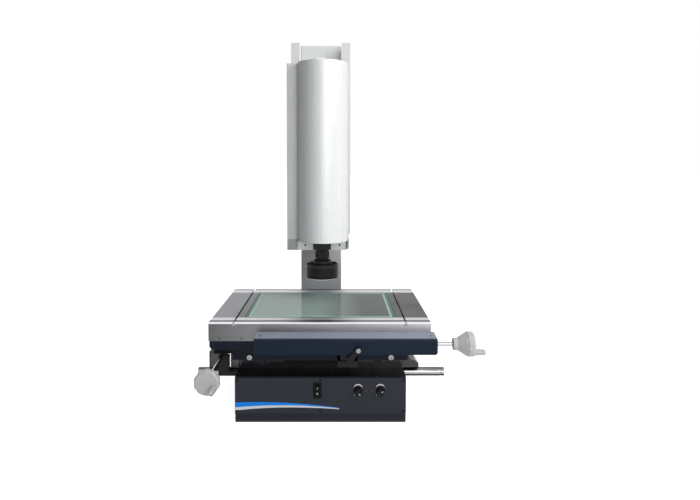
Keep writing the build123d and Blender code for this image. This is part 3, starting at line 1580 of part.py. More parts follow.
# Every node and its solids
parts = {
    "base_casting": [make_base_casting()],
    "bottom_cover": [make_bottom_cover()],
    "front_panel": [make_front_panel()],
    "panel_screws": make_panel_screws(),
    "switch_bezel": [make_switch_bezel()],
    "power_rocker": [make_power_rocker()],
    "contour_knob": [make_knob("contour_knob")],
    "surface_knob": [make_knob("surface_knob")],
    "light_controls": make_potentiometers() + [make_control_board()],
    "limit_lamps": make_limit_lamps(),
    "power_supply": [make_power_supply()],
    "rear_connectors": [make_mains_inlet()] + make_data_sockets(),
    "carrying_bars": make_carrying_bars(),
    "way_frame": [make_way_frame(), make_travel_stop()],
    "cap_screws": make_way_screws() + make_column_bolts(),
    "y_rails": make_y_rails(),
    "y_scale": [make_y_scale()],
    "contour_light": [make_contour_light()],
    "contour_lens": [make_contour_lens()],
    "y_rod_bearings": make_y_rod_bearings(),
    "y_rod": [make_y_rod(), along_y(make_crank_pin(), y_crank_angle)],
    "y_handwheel": [along_y(make_handwheel(), y_crank_angle)],
    "y_crank_handle": [along_y(make_crank_handle(), y_crank_angle)],
    "saddle": [make_saddle()],
    "y_runners": make_y_runners() + [make_y_reader()],
    "x_rails": make_x_rails(),
    "x_scale": [make_x_scale()],
    "y_cover": [make_y_cover()],
    "y_nut": [make_y_nut()],
    "x_nut": [make_x_nut(), make_lever_pin()],
    "release_lever": [make_release_lever()],
    "lever_grip": [make_lever_grip()],
    "table_frame": [make_table_frame()],
    "stage_glass": [make_stage_glass()],
    "table_fittings": make_slot_stops() + make_x_box_screws(),
    "sub_plate": [make_sub_plate()],
    "x_runners": make_x_runners() + [make_x_reader()],
    "x_box": [make_x_box()],
    "x_rod_bearings": make_x_rod_bearings(),
    "x_rod": [make_x_rod(), along_x(make_crank_pin(), x_crank_angle)],
    "x_handwheel": [along_x(make_handwheel(), x_crank_angle)],
    "x_crank_handle": [along_x(make_crank_handle(), x_crank_angle)],
    "column": [make_column(), make_column_cap()],
    "side_covers": make_side_covers() + make_cover_brackets(),
    "z_guide": make_z_rails() + make_z_bearings(),
    "z_screw": [make_z_screw()],
    "z_motor": [make_z_motor()],
    "z_carriages": make_z_blocks() + [make_z_nut()],
    "head_frame": [make_head_frame()],
    "head_front": [make_head_front(), make_end_cap()],
    "head_panels": [make_head_panel(-1), make_head_panel(1), make_head_top()],
    "lens_plate": [make_lens_plate()],
    "head_screws": make_lens_plate_screws() + make_ring_screws(),
    "head_cover": [make_cover()],
    "lens_clamp": [make_lens_clamp()],
    "zoom_lens": [make_zoom_lens()],
    "zoom_ring": [make_zoom_ring()],
    "camera": [make_camera()],
    "ring_light": [make_ring_light(), make_ring_collar()],
    "ring_lamps": [make_ring_lamps()],
}

os.makedirs("parts", exist_ok=True)
for name, shapes in parts.items():
    solids = [solid for shape in shapes for solid in shape.solids()]
    export_step(Compound(children=solids), f"parts/{name}.step")
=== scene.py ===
"""Looks of a vision measuring machine: finishes, fine pieces, light and camera, in metres."""
import logging
import math
from dataclasses import dataclass, field
from enum import Enum
from functools import reduce
from typing import Callable, Sequence

import bmesh
import bpy
import numpy as np
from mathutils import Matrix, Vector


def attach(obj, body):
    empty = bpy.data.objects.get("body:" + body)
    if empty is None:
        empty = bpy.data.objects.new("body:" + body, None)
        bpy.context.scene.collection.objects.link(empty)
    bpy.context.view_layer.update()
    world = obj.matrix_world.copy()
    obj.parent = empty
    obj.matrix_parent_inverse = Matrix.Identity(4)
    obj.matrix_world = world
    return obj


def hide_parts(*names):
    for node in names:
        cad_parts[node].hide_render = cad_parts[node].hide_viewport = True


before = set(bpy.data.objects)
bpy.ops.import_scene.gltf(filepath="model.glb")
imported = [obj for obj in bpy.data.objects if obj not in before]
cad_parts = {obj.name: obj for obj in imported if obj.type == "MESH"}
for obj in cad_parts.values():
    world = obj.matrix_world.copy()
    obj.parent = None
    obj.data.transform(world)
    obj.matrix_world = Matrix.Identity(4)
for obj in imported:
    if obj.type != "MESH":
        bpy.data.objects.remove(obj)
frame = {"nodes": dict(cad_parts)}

log = logging.getLogger("machine")
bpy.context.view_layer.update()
PER_METRE = 1000.0  # millimetres in a metre
WELD, SLIVER = 2e-6, 1e-7  # metres: points this close are joined, edges this short are dissolved
Array = np.ndarray
Socket = bpy.types.NodeSocket
Colour = Place = tuple[float, float, float]
Pair = tuple[float, float]
Profile = Sequence[Pair]
Rule = Callable[[Array, Array, Array], Array]


class Way(Enum):
    """The axis that a grain, a turned piece or a row runs along."""

    X = 0
    Y = 1
    Z = 2


# Node graphs
class Graph:
    """A node tree with short calls for the nodes that the finishes share."""

    def __init__(self, owner: bpy.types.ID, shader: str = "Principled BSDF") -> None:
        """Starts the tree of a material or world.

        Args:
            owner: the material or world.
            shader: name of the shader that it starts with.
        """
        owner.use_nodes = True
        self.tree = owner.node_tree
        self.shader = self.tree.nodes[shader]
        self.place = self.node("TexCoord", {}).outputs["Object"]

    def node(self, kind: str, values: dict[object, object], **settings: object) -> bpy.types.Node:
        """Adds a node.

        Args:
            kind: Blender's name of the node, less its prefix.
            values: a socket, number or colour for each input, by its name or place.
            settings: the node's own settings.

        Returns:
            The node.
        """
        node = self.tree.nodes.new("ShaderNode" + kind)
        for name, setting in settings.items():
            setattr(node, name, setting)
        self.fill(node, values)
        return node

    def fill(self, node: bpy.types.Node, values: dict[object, object]) -> None:
        """Sets or joins a node's inputs.

        Args:
            node: the node.
            values: a socket, number or colour for each input, by its name or place.
        """
        for name, value in values.items():
            if isinstance(value, Socket):
                self.tree.links.new(value, node.inputs[name])
            else:
                node.inputs[name].default_value = (*value, 1.0) if node.inputs[name].type == "RGBA" else value

    def put(self, **values: object) -> None:
        """Sets or joins the shader's own inputs, with spaces in their names written as underscores."""
        self.fill(self.shader, {name.replace("_", " "): value for name, value in values.items()})

    def base(self) -> Socket:
        """Gives the socket that feeds the shader's colour."""
        return self.shader.inputs["Base Color"].links[0].from_socket

    def axis(self, way: Way) -> Socket:
        """Gives one object coordinate in metres."""
        return self.node("SeparateXYZ", {0: self.place}).outputs[way.value]

    def tint(self, colour: Socket, by: Colour) -> Socket:
        """Multiplies a colour socket by a colour."""
        return self.node("VectorMath", {0: colour, 1: by}, operation="MULTIPLY").outputs[0]

    def noise(self, scale: float, stretch: Sequence[float] = (1, 1, 1), detail: float = 3.0) -> Socket:
        """Gives a smooth random field between 0 and 1.

        Args:
            scale: lumps per metre.
            stretch: factor along each axis, so that small numbers draw the lumps out.
            detail: octaves.

        Returns:
            The value socket.
        """
        place = self.node("Mapping", {"Vector": self.place, "Scale": stretch}).outputs[0]
        values = {"Vector": place, "Scale": scale, "Detail": detail, "Roughness": 0.55}
        return self.node("TexNoise", values).outputs["Fac"]

    def maths(self, kind: str, first: object, second: object = 0.0) -> Socket:
        """Works out Blender's sum of that name from two sockets or numbers."""
        return self.node("Math", {0: first, 1: second}, operation=kind).outputs["Value"]

    def times(self, first: object, second: object) -> Socket:
        """Multiplies two sockets or numbers."""
        return self.maths("MULTIPLY", first, second)

    def span(self, value: Socket, low: float, high: float, start: float = 0.0, end: float = 1.0) -> Socket:
        """Maps the part of a field between low and high to start and end, and holds it outside."""
        values = {"Value": value, "From Min": low, "From Max": high, "To Min": start, "To Max": end}
        return self.node("MapRange", values).outputs["Result"]

    def band(self, value: Socket, low: float, high: float, soft: float) -> Socket:
        """Gives 1 between two levels of a field and 0 outside, past flanks of a soft width."""
        return self.times(self.span(value, low - soft, low), self.span(value, high, high + soft, 1.0, 0.0))

    def blend(self, factor: Socket, first: object, second: object) -> Socket:
        """Mixes two colours or colour sockets: factor 0 gives the first, 1 the second."""
        return self.node("Mix", {0: factor, 6: first, 7: second}, data_type="RGBA").outputs[2]

    def bump(self, height: Socket, depth: float) -> None:
        """Presses a height field into the shader's normal, depth in metres."""
        self.put(Normal=self.node("Bump", {"Height": height, "Distance": depth}).outputs["Normal"])

    def edges(self, radius: float) -> Socket:
        """Gives 1 on outer edges and 0 on flats, from how far a rounded normal leaves the true one.

        Args:
            radius: reach of the edge in metres.

        Returns:
            The value socket.
        """
        bevel = self.node("Bevel", {"Radius": radius}, samples=4).outputs["Normal"]
        true = self.node("NewGeometry", {}).outputs["Normal"]
        dot = self.node("VectorMath", {0: bevel, 1: true}, operation="DOT_PRODUCT").outputs["Value"]
        return self.span(self.maths("SUBTRACT", 1.0, dot), 0.02, 0.25)


def shade(colour: Colour, factor: float) -> Colour:
    """Gives a colour times a factor, at most 1."""
    return tuple(min(1.0, c * factor) for c in colour)


# Finishes
MADE: dict[str, bpy.types.Material] = {}


@dataclass(frozen=True)
class Finish:
    """A finish: its name, colour and mean roughness, with a material that is made once."""

    name: str
    colour: Colour
    roughness: float = 0.4

    def dress(self, g: Graph) -> None:
        """Fills the node graph; each kind of finish has its own."""

    def material(self) -> bpy.types.Material:
        """Gives the finish's material, made at its first use.

        Returns:
            The material.
        """
        if self.name not in MADE:
            MADE[self.name] = bpy.data.materials.new(self.name)
            self.dress(Graph(MADE[self.name]))
        return MADE[self.name]

    def cloud(self, g: Graph, scale: float, detail: float, less: float, more: float) -> Socket:
        """Gives the colour, clouded between two factors of it by noise of that scale and detail."""
        return g.blend(g.noise(scale, detail=detail), shade(self.colour, less), shade(self.colour, more))

    def rub(self, g: Graph, tone: Socket, edge: Socket, gain: float) -> None:
        """Feeds the shader a tone that gives way, where edge is 1, to the colour times a gain."""
        g.put(Base_Color=g.blend(edge, tone, shade(self.colour, gain)))

    def dull(self, g: Graph, noise: Socket, less: float, more: float) -> None:
        """Lets the roughness follow a noise, from so much less to so much more than its mean."""
        g.put(Roughness=g.span(noise, 0.3, 0.7, self.roughness - less, self.roughness + more))


@dataclass(frozen=True)
class Paint(Finish):
    """Sprayed or powder paint: fine orange peel, cloudy tone, thin wear on outer edges."""

    peel: float = 0.00003
    grain: float = 900.0
    worn: float = 0.35
    coat: float = 0.0
    gloss: float = 0.35

    def dress(self, g: Graph) -> None:
        """Fills the node graph, with wear where a coarse noise is high.

        Args:
            g: the graph.
        """
        wear = g.times(g.times(g.edges(radius=0.0012), g.span(g.noise(160.0), 0.35, 0.7)), self.worn)
        self.rub(g, self.cloud(g, scale=9.0, detail=4.0, less=0.9, more=1.1), wear, gain=1.9)
        self.dull(g, g.noise(35.0, detail=5.0), less=0.05, more=0.06)
        g.bump(g.noise(self.grain, detail=2.0), self.peel)
        g.put(Coat_Weight=self.coat, Coat_Roughness=0.1, Specular_IOR_Level=self.gloss)


@dataclass(frozen=True)
class TwoTone(Paint):
    """Paint whose colour changes at a height: one below it, another above; the column's lower colour is painted shade
    and the X box's upper colour is painted light.
    """

    level: float = 0.0
    other: Colour = (0.0, 0.0, 0.0)
    below: bool = True
    soft: float = 0.0002

    def dress(self, g: Graph) -> None:
        """Fills the node graph, then lays the second colour over the first past the level.

        Args:
            g: the graph.
        """
        super().dress(g)
        start, end = (1.0, 0.0) if self.below else (0.0, 1.0)
        side = g.span(g.axis(Way.Z), self.level - self.soft, self.level + self.soft, start, end)
        second = g.blend(g.noise(11.0, detail=4.0), shade(self.other, 0.88), shade(self.other, 1.12))
        g.put(Base_Color=g.blend(side, g.base(), second))


@dataclass(frozen=True)
class Brushed(Finish):
    """Brushed or ground metal: long fine scratches along one axis, with edges lightened as wear and painted
    highlight.
    """

    way: Way = Way.X
    depth: float = 0.00002
    contrast: float = 0.16
    metal: float = 1.0

    def dress(self, g: Graph) -> None:
        """Fills the node graph with fine and broad streaks, and smudges in the sheen.

        Args:
            g: the graph.
        """
        stretch = [0.012 if way is self.way else 1.0 for way in Way]
        fine, broad = g.noise(2600.0, stretch, detail=2.0), g.noise(260.0, stretch, detail=4.0)
        both = g.maths("ADD", g.times(fine, 0.6), g.times(broad, 0.4))
        streak = g.span(both, 0.35, 0.65)
        tone = g.blend(streak, shade(self.colour, 1 - self.contrast), shade(self.colour, 1 + self.contrast))
        # Lighter outer edges: partly worn bright metal, partly painted highlight.
        self.rub(g, tone, g.times(g.edges(radius=0.001), 0.5), gain=1.7)
        smudge = g.times(g.span(g.noise(14.0, detail=5.0), 0.45, 0.75), 0.08)
        sheen = g.span(streak, 0, 1, self.roughness - 0.05, self.roughness + 0.07)
        g.bump(both, self.depth)
        g.put(Roughness=g.maths("ADD", sheen, smudge), Metallic=self.metal, Anisotropic=0.4)


@dataclass(frozen=True)
class Pearl(Brushed):
    """Silver paint brushed upright, with painted shade that darkens it towards the left of the head."""

    # dark: colour factor of the painted shade at the left; left: the x span over which the painted shade fades out.
    dark: float = 0.50
    left: Pair = (-0.067, 0.012)

    def dress(self, g: Graph) -> None:
        """Fills the node graph, then lays painted shade over the left.

        Args:
            g: the graph.
        """
        super().dress(g)
        # Painted shade: the colour darkens towards the left end of the head.
        deep = g.tint(g.base(), (self.dark, self.dark * 1.01, self.dark * 1.02))
        g.put(Base_Color=g.blend(g.span(g.axis(Way.X), *self.left), deep, g.base()))


@dataclass(frozen=True)
class TableTop(Brushed):
    """The table's ground metal, with painted light and shade: highlight strips and shaded strips along its front and
    back, sides painted dark at the left and lit at the right, and a top whose painted reflection greys to the right.
    """

    top: Pair = (0.2466, 0.2470)
    # bright: strips of painted highlight along the front edge, behind the front strip and behind the glass; dark:
    # strips of painted shade in the front strip and along the back edge; slot: x of the left T-slot, left of which
    # the top's painted reflection is lighter.
    bright: tuple[Pair, ...] = ((-0.2262, -0.2190), (-0.2060, -0.1860), (0.0640, 0.0925))
    dark: tuple[Pair, ...] = ((0.0930, 0.1060), (-0.2190, -0.2065))
    slot: Pair = (-0.193, -0.1925)

    def dress(self, g: Graph) -> None:
        """Fills the node graph, then paints light and shade across the sides and top and lays the painted highlight
        and shade strips over the top.

        Args:
            g: the graph.
        """
        super().dress(g)
        top, across = g.span(g.axis(Way.Z), *self.top), g.axis(Way.X)

        def fade(ends: Pair, left: Colour, right: Colour) -> Socket:
            """Tints the ground metal from one colour at the left end to another at the right, as painted light and
            shade.
            """
            return g.blend(g.span(across, *ends), g.tint(g.base(), left), g.tint(g.base(), right))

        # Painted light and shade on the sides: dark at the left end, lit at the right.
        sides = fade((-0.25, 0.25), (0.36, 0.36, 0.35), (1.55, 1.52, 1.5))
        # Painted reflection on the top: lightest left of the T-slot, then darkening towards the right.
        inner = fade((-0.19, 0.16), (0.52, 0.51, 0.49), (0.22, 0.22, 0.21))
        upper = g.blend(g.span(across, *self.slot), g.tint(g.base(), (0.80, 0.81, 0.84)), inner)
        tone = g.blend(top, sides, upper)
        # Strips of painted shade, then strips of painted highlight, laid over the top.
        for rows, share, colour in ((self.dark, 0.7, (0.03, 0.035, 0.06)), (self.bright, 0.95, (0.70, 0.70, 0.72))):
            bands = [g.band(g.axis(Way.Y), low, high, soft=0.0003) for low, high in rows]
            inside = reduce(lambda one, other: g.maths("MAXIMUM", one, other), bands)
            tone = g.blend(g.times(g.times(top, inside), share), tone, colour)
        g.put(Base_Color=tone)


@dataclass(frozen=True)
class Polished(Finish):
    """Polished or chromed steel: near mirror, with faint rings, a breath of haze and a painted dark reflection
    outside a band.
    """

    way: Way = Way.X
    # under and over: the band's two heights, outside which the last factor sets the colour of the painted dark
    # reflection.
    under: float = -1.0
    over: float = 9.0
    film_and_painted_reflection: float = 0.12

    def dress(self, g: Graph) -> None:
        """Fills the node graph, with the painted dark reflection below and above the band's two heights.

        Args:
            g: the graph.
        """
        stretch = [1.0 if way is self.way else 0.02 for way in Way]
        haze = g.span(g.noise(40.0, detail=4.0), 0.4, 0.8)
        tone = g.blend(haze, self.colour, shade(self.colour, 0.9))
        low = g.span(g.axis(Way.Z), self.under - 0.0018, self.under + 0.0018, 1.0, 0.0)
        high = g.span(g.axis(Way.Z), self.over - 0.0012, self.over + 0.0012, 0.0, 0.75)
        # Painted dark reflection: darker below the lower height and above the upper one.
        self.rub(g, tone, g.maths("MAXIMUM", low, high), self.film_and_painted_reflection)
        g.bump(g.noise(1500.0, stretch, detail=3.0), 0.000004)
        g.put(Roughness=g.maths("ADD", self.roughness, g.times(haze, 0.07)), Metallic=1.0)


@dataclass(frozen=True)
class Anodised(Finish):
    """Anodised aluminium: a fine blasted grain under a thin dyed skin, lighter on its edges."""

    metal: float = 0.7
    gloss: float = 0.5

    def dress(self, g: Graph) -> None:
        """Fills the node graph.

        Args:
            g: the graph.
        """
        tone = self.cloud(g, scale=22.0, detail=3.0, less=0.88, more=1.12)
        self.rub(g, tone, g.times(g.edges(radius=0.0008), 0.4), gain=2.2)
        self.dull(g, g.noise(300.0), less=0.06, more=0.06)
        g.bump(g.noise(2200.0, detail=2.0), 0.00002)
        g.put(Metallic=self.metal, Specular_IOR_Level=self.gloss)


@dataclass(frozen=True)
class Moulded(Finish):
    """Moulded plastic: a leathery fine texture, soft sheen and rubbed edges."""

    grain: float = 1400.0
    coat: float = 0.0
    gloss: float = 0.25

    def dress(self, g: Graph) -> None:
        """Fills the node graph.

        Args:
            g: the graph.
        """
        tone = self.cloud(g, scale=30.0, detail=3.0, less=0.92, more=1.08)
        self.rub(g, tone, g.times(g.edges(radius=0.0006), 0.3), gain=1.5)
        self.dull(g, g.noise(120.0), less=0.05, more=0.05)
        g.bump(g.noise(self.grain, detail=2.0), 0.00002)
        g.put(Coat_Weight=self.coat, Coat_Roughness=0.08, Specular_IOR_Level=self.gloss)


@dataclass(frozen=True)
class Cast(Finish):
    """Sand-cast and painted iron or aluminium: a pebbled skin with low pits."""

    def dress(self, g: Graph) -> None:
        """Fills the node graph.

        Args:
            g: the graph.
        """
        pebble = g.noise(420.0, detail=5.0)
        g.put(Base_Color=self.cloud(g, scale=12.0, detail=4.0, less=0.88, more=1.1))
        self.dull(g, pebble, less=0.06, more=0.08)
        g.bump(pebble, 0.00012)


@dataclass(frozen=True)
class Clear(Finish):
    """Clear glass with a tint in its body and a trace of dust on its faces."""

    ior: float = 1.5
    through: float = 1.0
    green: Colour = (0.12, 0.42, 0.33)

    def dress(self, g: Graph) -> None:
        """Fills the node graph, with green towards the outer edges.

        Args:
            g: the graph.
        """
        dust = g.span(g.noise(26.0, detail=6.0), 0.5, 0.85, self.roughness, self.roughness + 0.05)
        g.put(Base_Color=g.blend(g.edges(radius=0.003), self.colour, self.green))
        g.put(Roughness=dust, IOR=self.ior, Transmission_Weight=self.through)


@dataclass(frozen=True)
class StageGlass(Clear):
    """Thick stage glass with a milky body, painted shade that darkens it to the right, and green polished edges."""

    middle: Pair = (0.0, -0.060)
    half: Pair = (0.175, 0.125)
    rim: float = 0.008
    bevel: float = 0.013

    def dress(self, g: Graph) -> None:
        """Fills the node graph, then greens a frame given by the larger distance past the half sizes and lays painted
        shade over the body's right part.

        Args:
            g: the graph.
        """
        super().dress(g)
        out = [g.maths("SUBTRACT", g.maths("ABSOLUTE", g.maths("SUBTRACT", g.axis(way), centre)), half)
               for way, centre, half in zip((Way.X, Way.Y), self.middle, self.half)]
        reach, flank = g.maths("MAXIMUM", *out), 0.0002
        edge = g.span(reach, -self.rim - flank, -self.rim + flank)
        inner = g.times(g.span(reach, -self.bevel - flank, -self.bevel + flank),
                        g.span(reach, -self.rim - flank, -self.rim + flank, 1.0, 0.0))
        # Painted shade: the body darkens towards the right.
        body = g.blend(g.span(g.axis(Way.X), 0.0, 0.10), g.base(), g.tint(g.base(), (0.30, 0.315, 0.305)))
        tone = g.blend(edge, body, (0.07, 0.24, 0.19))
        through = g.span(g.maths("MAXIMUM", edge, inner), 0.0, 1.0, self.through, 0.25)
        g.put(Base_Color=g.blend(inner, tone, (0.50, 0.68, 0.62)), Transmission_Weight=through)


@dataclass(frozen=True)
class Glow(Finish):
    """A frosted lamp face that gives a little light of its own."""

    strength: float = 0.6

    def dress(self, g: Graph) -> None:
        """Fills the node graph.

        Args:
            g: the graph.
        """
        dots = g.span(g.noise(700.0), 0.4, 0.6, 0.85, 1.0)
        g.put(Base_Color=g.blend(dots, shade(self.colour, 0.8), self.colour), Roughness=self.roughness)
        g.bump(g.noise(900.0), 0.00002)
        g.put(Emission_Color=self.colour, Emission_Strength=self.strength)


class Finishes:
    """Every finish of the machine, by what it is on."""

    base = TwoTone("base_paint", (0.0055, 0.0058, 0.0075), 0.28, gloss=0.2, level=0.022, other=(0.009, 0.010, 0.021))
    black = Paint("black_paint", (0.008, 0.008, 0.010), 0.3)
    film_and_painted_reflection = Moulded("panel_film", (0.0185, 0.0225, 0.0330), 0.36, 2600.0, gloss=0.2)
    screw = Brushed("screw_steel", (0.27, 0.265, 0.26), 0.26, Way.Z, contrast=0.1)
    dark_screw = Anodised("dark_screw", (0.003, 0.003, 0.0035), 0.34, 0.0, gloss=0.1)
    switch = Moulded("switch_plastic", (0.0025, 0.0025, 0.003), 0.3, 900.0, gloss=0.1)
    knob = Moulded("knob_plastic", (0.004, 0.004, 0.0045), 0.3, 1200.0, gloss=0.15)
    board = Moulded("board_green", (0.02, 0.09, 0.05), 0.5)
    lamp_red = Moulded("lamp_red", (0.11, 0.02, 0.02), 0.15, 500.0, 0.5)
    zinc = Brushed("zinc_sheet", (0.55, 0.56, 0.57), 0.4, Way.Y)
    socket = Moulded("socket_plastic", (0.012, 0.012, 0.013), 0.4)
    # The chrome bars' darker bands below and above their middle are painted dark reflection.
    chrome = Polished("chrome_bar", (0.36, 0.37, 0.368), 0.12, Way.X, under=0.0915, over=0.1015, film_and_painted_reflection=0.035)
    rod = Polished("ground_rod", (0.38, 0.385, 0.40), 0.16, Way.X)
    ways = Paint("way_black", (0.010, 0.011, 0.015), 0.2, worn=0.2, coat=0.3)
    rail = Brushed("rail_steel", (0.012, 0.012, 0.014), 0.3, Way.X)
    z_rail = Brushed("z_rail_steel", (0.5, 0.51, 0.53), 0.26, Way.Z)
    scale = Anodised("scale_anodised", (0.085, 0.086, 0.09), 0.4, 0.4)
    grey = Anodised("grey_anodised", (0.42, 0.43, 0.44), 0.36, 0.6)
    dark = Anodised("black_anodised", (0.006, 0.006, 0.007), 0.32, 0.0, gloss=0.16)
    blue = Paint("sub_plate_paint", (0.009, 0.0115, 0.022), 0.4, gloss=0.1)
    saddle = Paint("saddle_paint", (0.006, 0.009, 0.016), 0.42, gloss=0.1)
    table = TableTop("brushed_table", (0.27, 0.275, 0.29), 0.34, Way.X, contrast=0.12)
    # The X box's light colour above 0.2262 m is painted light on its top face, over the dark paint of its sides.
    box = TwoTone("box_paint", (0.007, 0.014, 0.029), 0.36, worn=0.4, gloss=0.1, level=0.2262,
                  other=(0.27, 0.295, 0.36), below=False)
    drive = Paint("drive_paint", (0.010, 0.012, 0.020), 0.34)
    wheel = Paint("wheel_paint", (0.51, 0.508, 0.51), 0.36, 0.00005, 500.0, 0.2)
    handle = Moulded("handle_plastic", (0.47, 0.468, 0.47), 0.3, 800.0, 0.2)
    # The column's darker colour below 0.33 m is painted shade from the head and the table.
    column = TwoTone("column_paint", (0.80, 0.81, 0.81), 0.42, 0.00006, 700.0, 0.2, level=0.33,
                     other=(0.40, 0.41, 0.43), soft=0.055)
    sheet = Paint("sheet_paint", (0.72, 0.73, 0.73), 0.4, worn=0.3)
    front_sheet = TwoTone("front_sheet", (0.66, 0.67, 0.67), 0.4, worn=0.3, level=0.403,
                          other=(0.40, 0.405, 0.40), soft=0.0003)
    # The cover's darker left side is painted shade.
    cover = Pearl("cover_silver", (0.86, 0.87, 0.87), 0.27, Way.Z, 0.000003, 0.03, metal=0.04, dark=0.35)
    frame = Cast("frame_cast", (0.42, 0.42, 0.42), 0.55)
    motor = Paint("motor_black", (0.014, 0.014, 0.015), 0.45)
    lens_glass = Clear("lens_glass", (0.93, 0.96, 0.98), 0.01)
    stage_glass = StageGlass("stage_glass", (0.51, 0.62, 0.58), 0.012, 1.12, 0.45)
    lamp = Glow("lamp_ring", (0.9, 0.9, 0.88), 0.3, strength=0.25)
    ring = Anodised("ring_black", (0.007, 0.0075, 0.009), 0.3, 0.0, gloss=0.2)
    stripe_blue = Moulded("stripe_blue", (0.0, 0.26, 0.95), 0.34, 2600.0)
    stripe_white = Moulded("stripe_white", (0.80, 0.81, 0.83), 0.36, 2600.0)
    ink = Moulded("white_ink", (0.78, 0.79, 0.80), 0.45, 2600.0)
    bright = Polished("bright_grip", (0.22, 0.222, 0.228), 0.16, Way.Y)


NODE_FINISH: dict[str, str] = {
    "base": "base_casting", "black": "bottom_cover", "film_and_painted_reflection": "front_panel", "dark_screw": "panel_screws",
    "switch": "switch_bezel power_rocker", "knob": "contour_knob surface_knob", "board": "light_controls",
    "lamp_red": "limit_lamps", "zinc": "power_supply", "socket": "rear_connectors", "chrome": "carrying_bars",
    "ways": "way_frame", "screw": "cap_screws table_fittings head_screws", "lens_glass": "contour_lens",
    "rail": "y_rails y_runners x_rails x_runners", "scale": "y_scale", "rod": "y_rod x_rod", "saddle": "saddle",
    "dark": "contour_light y_rod_bearings y_nut x_nut release_lever x_rod_bearings lens_clamp zoom_lens zoom_ring"
            " camera ring_light",
    "wheel": "y_handwheel x_handwheel", "handle": "y_crank_handle x_crank_handle", "drive": "y_cover",
    "grey": "x_scale z_carriages lens_plate", "bright": "lever_grip", "table": "table_frame",
    "stage_glass": "stage_glass", "blue": "sub_plate", "box": "x_box", "column": "column", "sheet": "side_covers",
    "z_rail": "z_guide z_screw", "motor": "z_motor", "frame": "head_frame", "front_sheet": "head_front head_panels",
    "cover": "head_cover", "lamp": "ring_lamps",
}


def dress_nodes() -> None:
    """Gives every node of the frame its finish."""
    for key, names in NODE_FINISH.items():
        for name in names.split():
            data = frame["nodes"][name].data
            data.materials.clear()
            data.materials.append(getattr(Finishes, key).material())
            log.info("finish %s on %s", key, name)


# Surfaces worked out from two parameters, in millimetres
class Body(Enum):
    """The moving bodies that pieces ride on."""

    BASE = "base"
    ROCKER = "power_rocker"
    CONTOUR = "contour_knob"
    SURFACE = "surface_knob"
    Y_ROD = "y_rod"
    Y_CRANK = "y_crank"
    SADDLE = "saddle"
    X_ROD = "x_rod"
    X_CRANK = "x_crank"
    Z_SCREW = "z_screw"
    HEAD = "head"
    ZOOM = "zoom_ring"


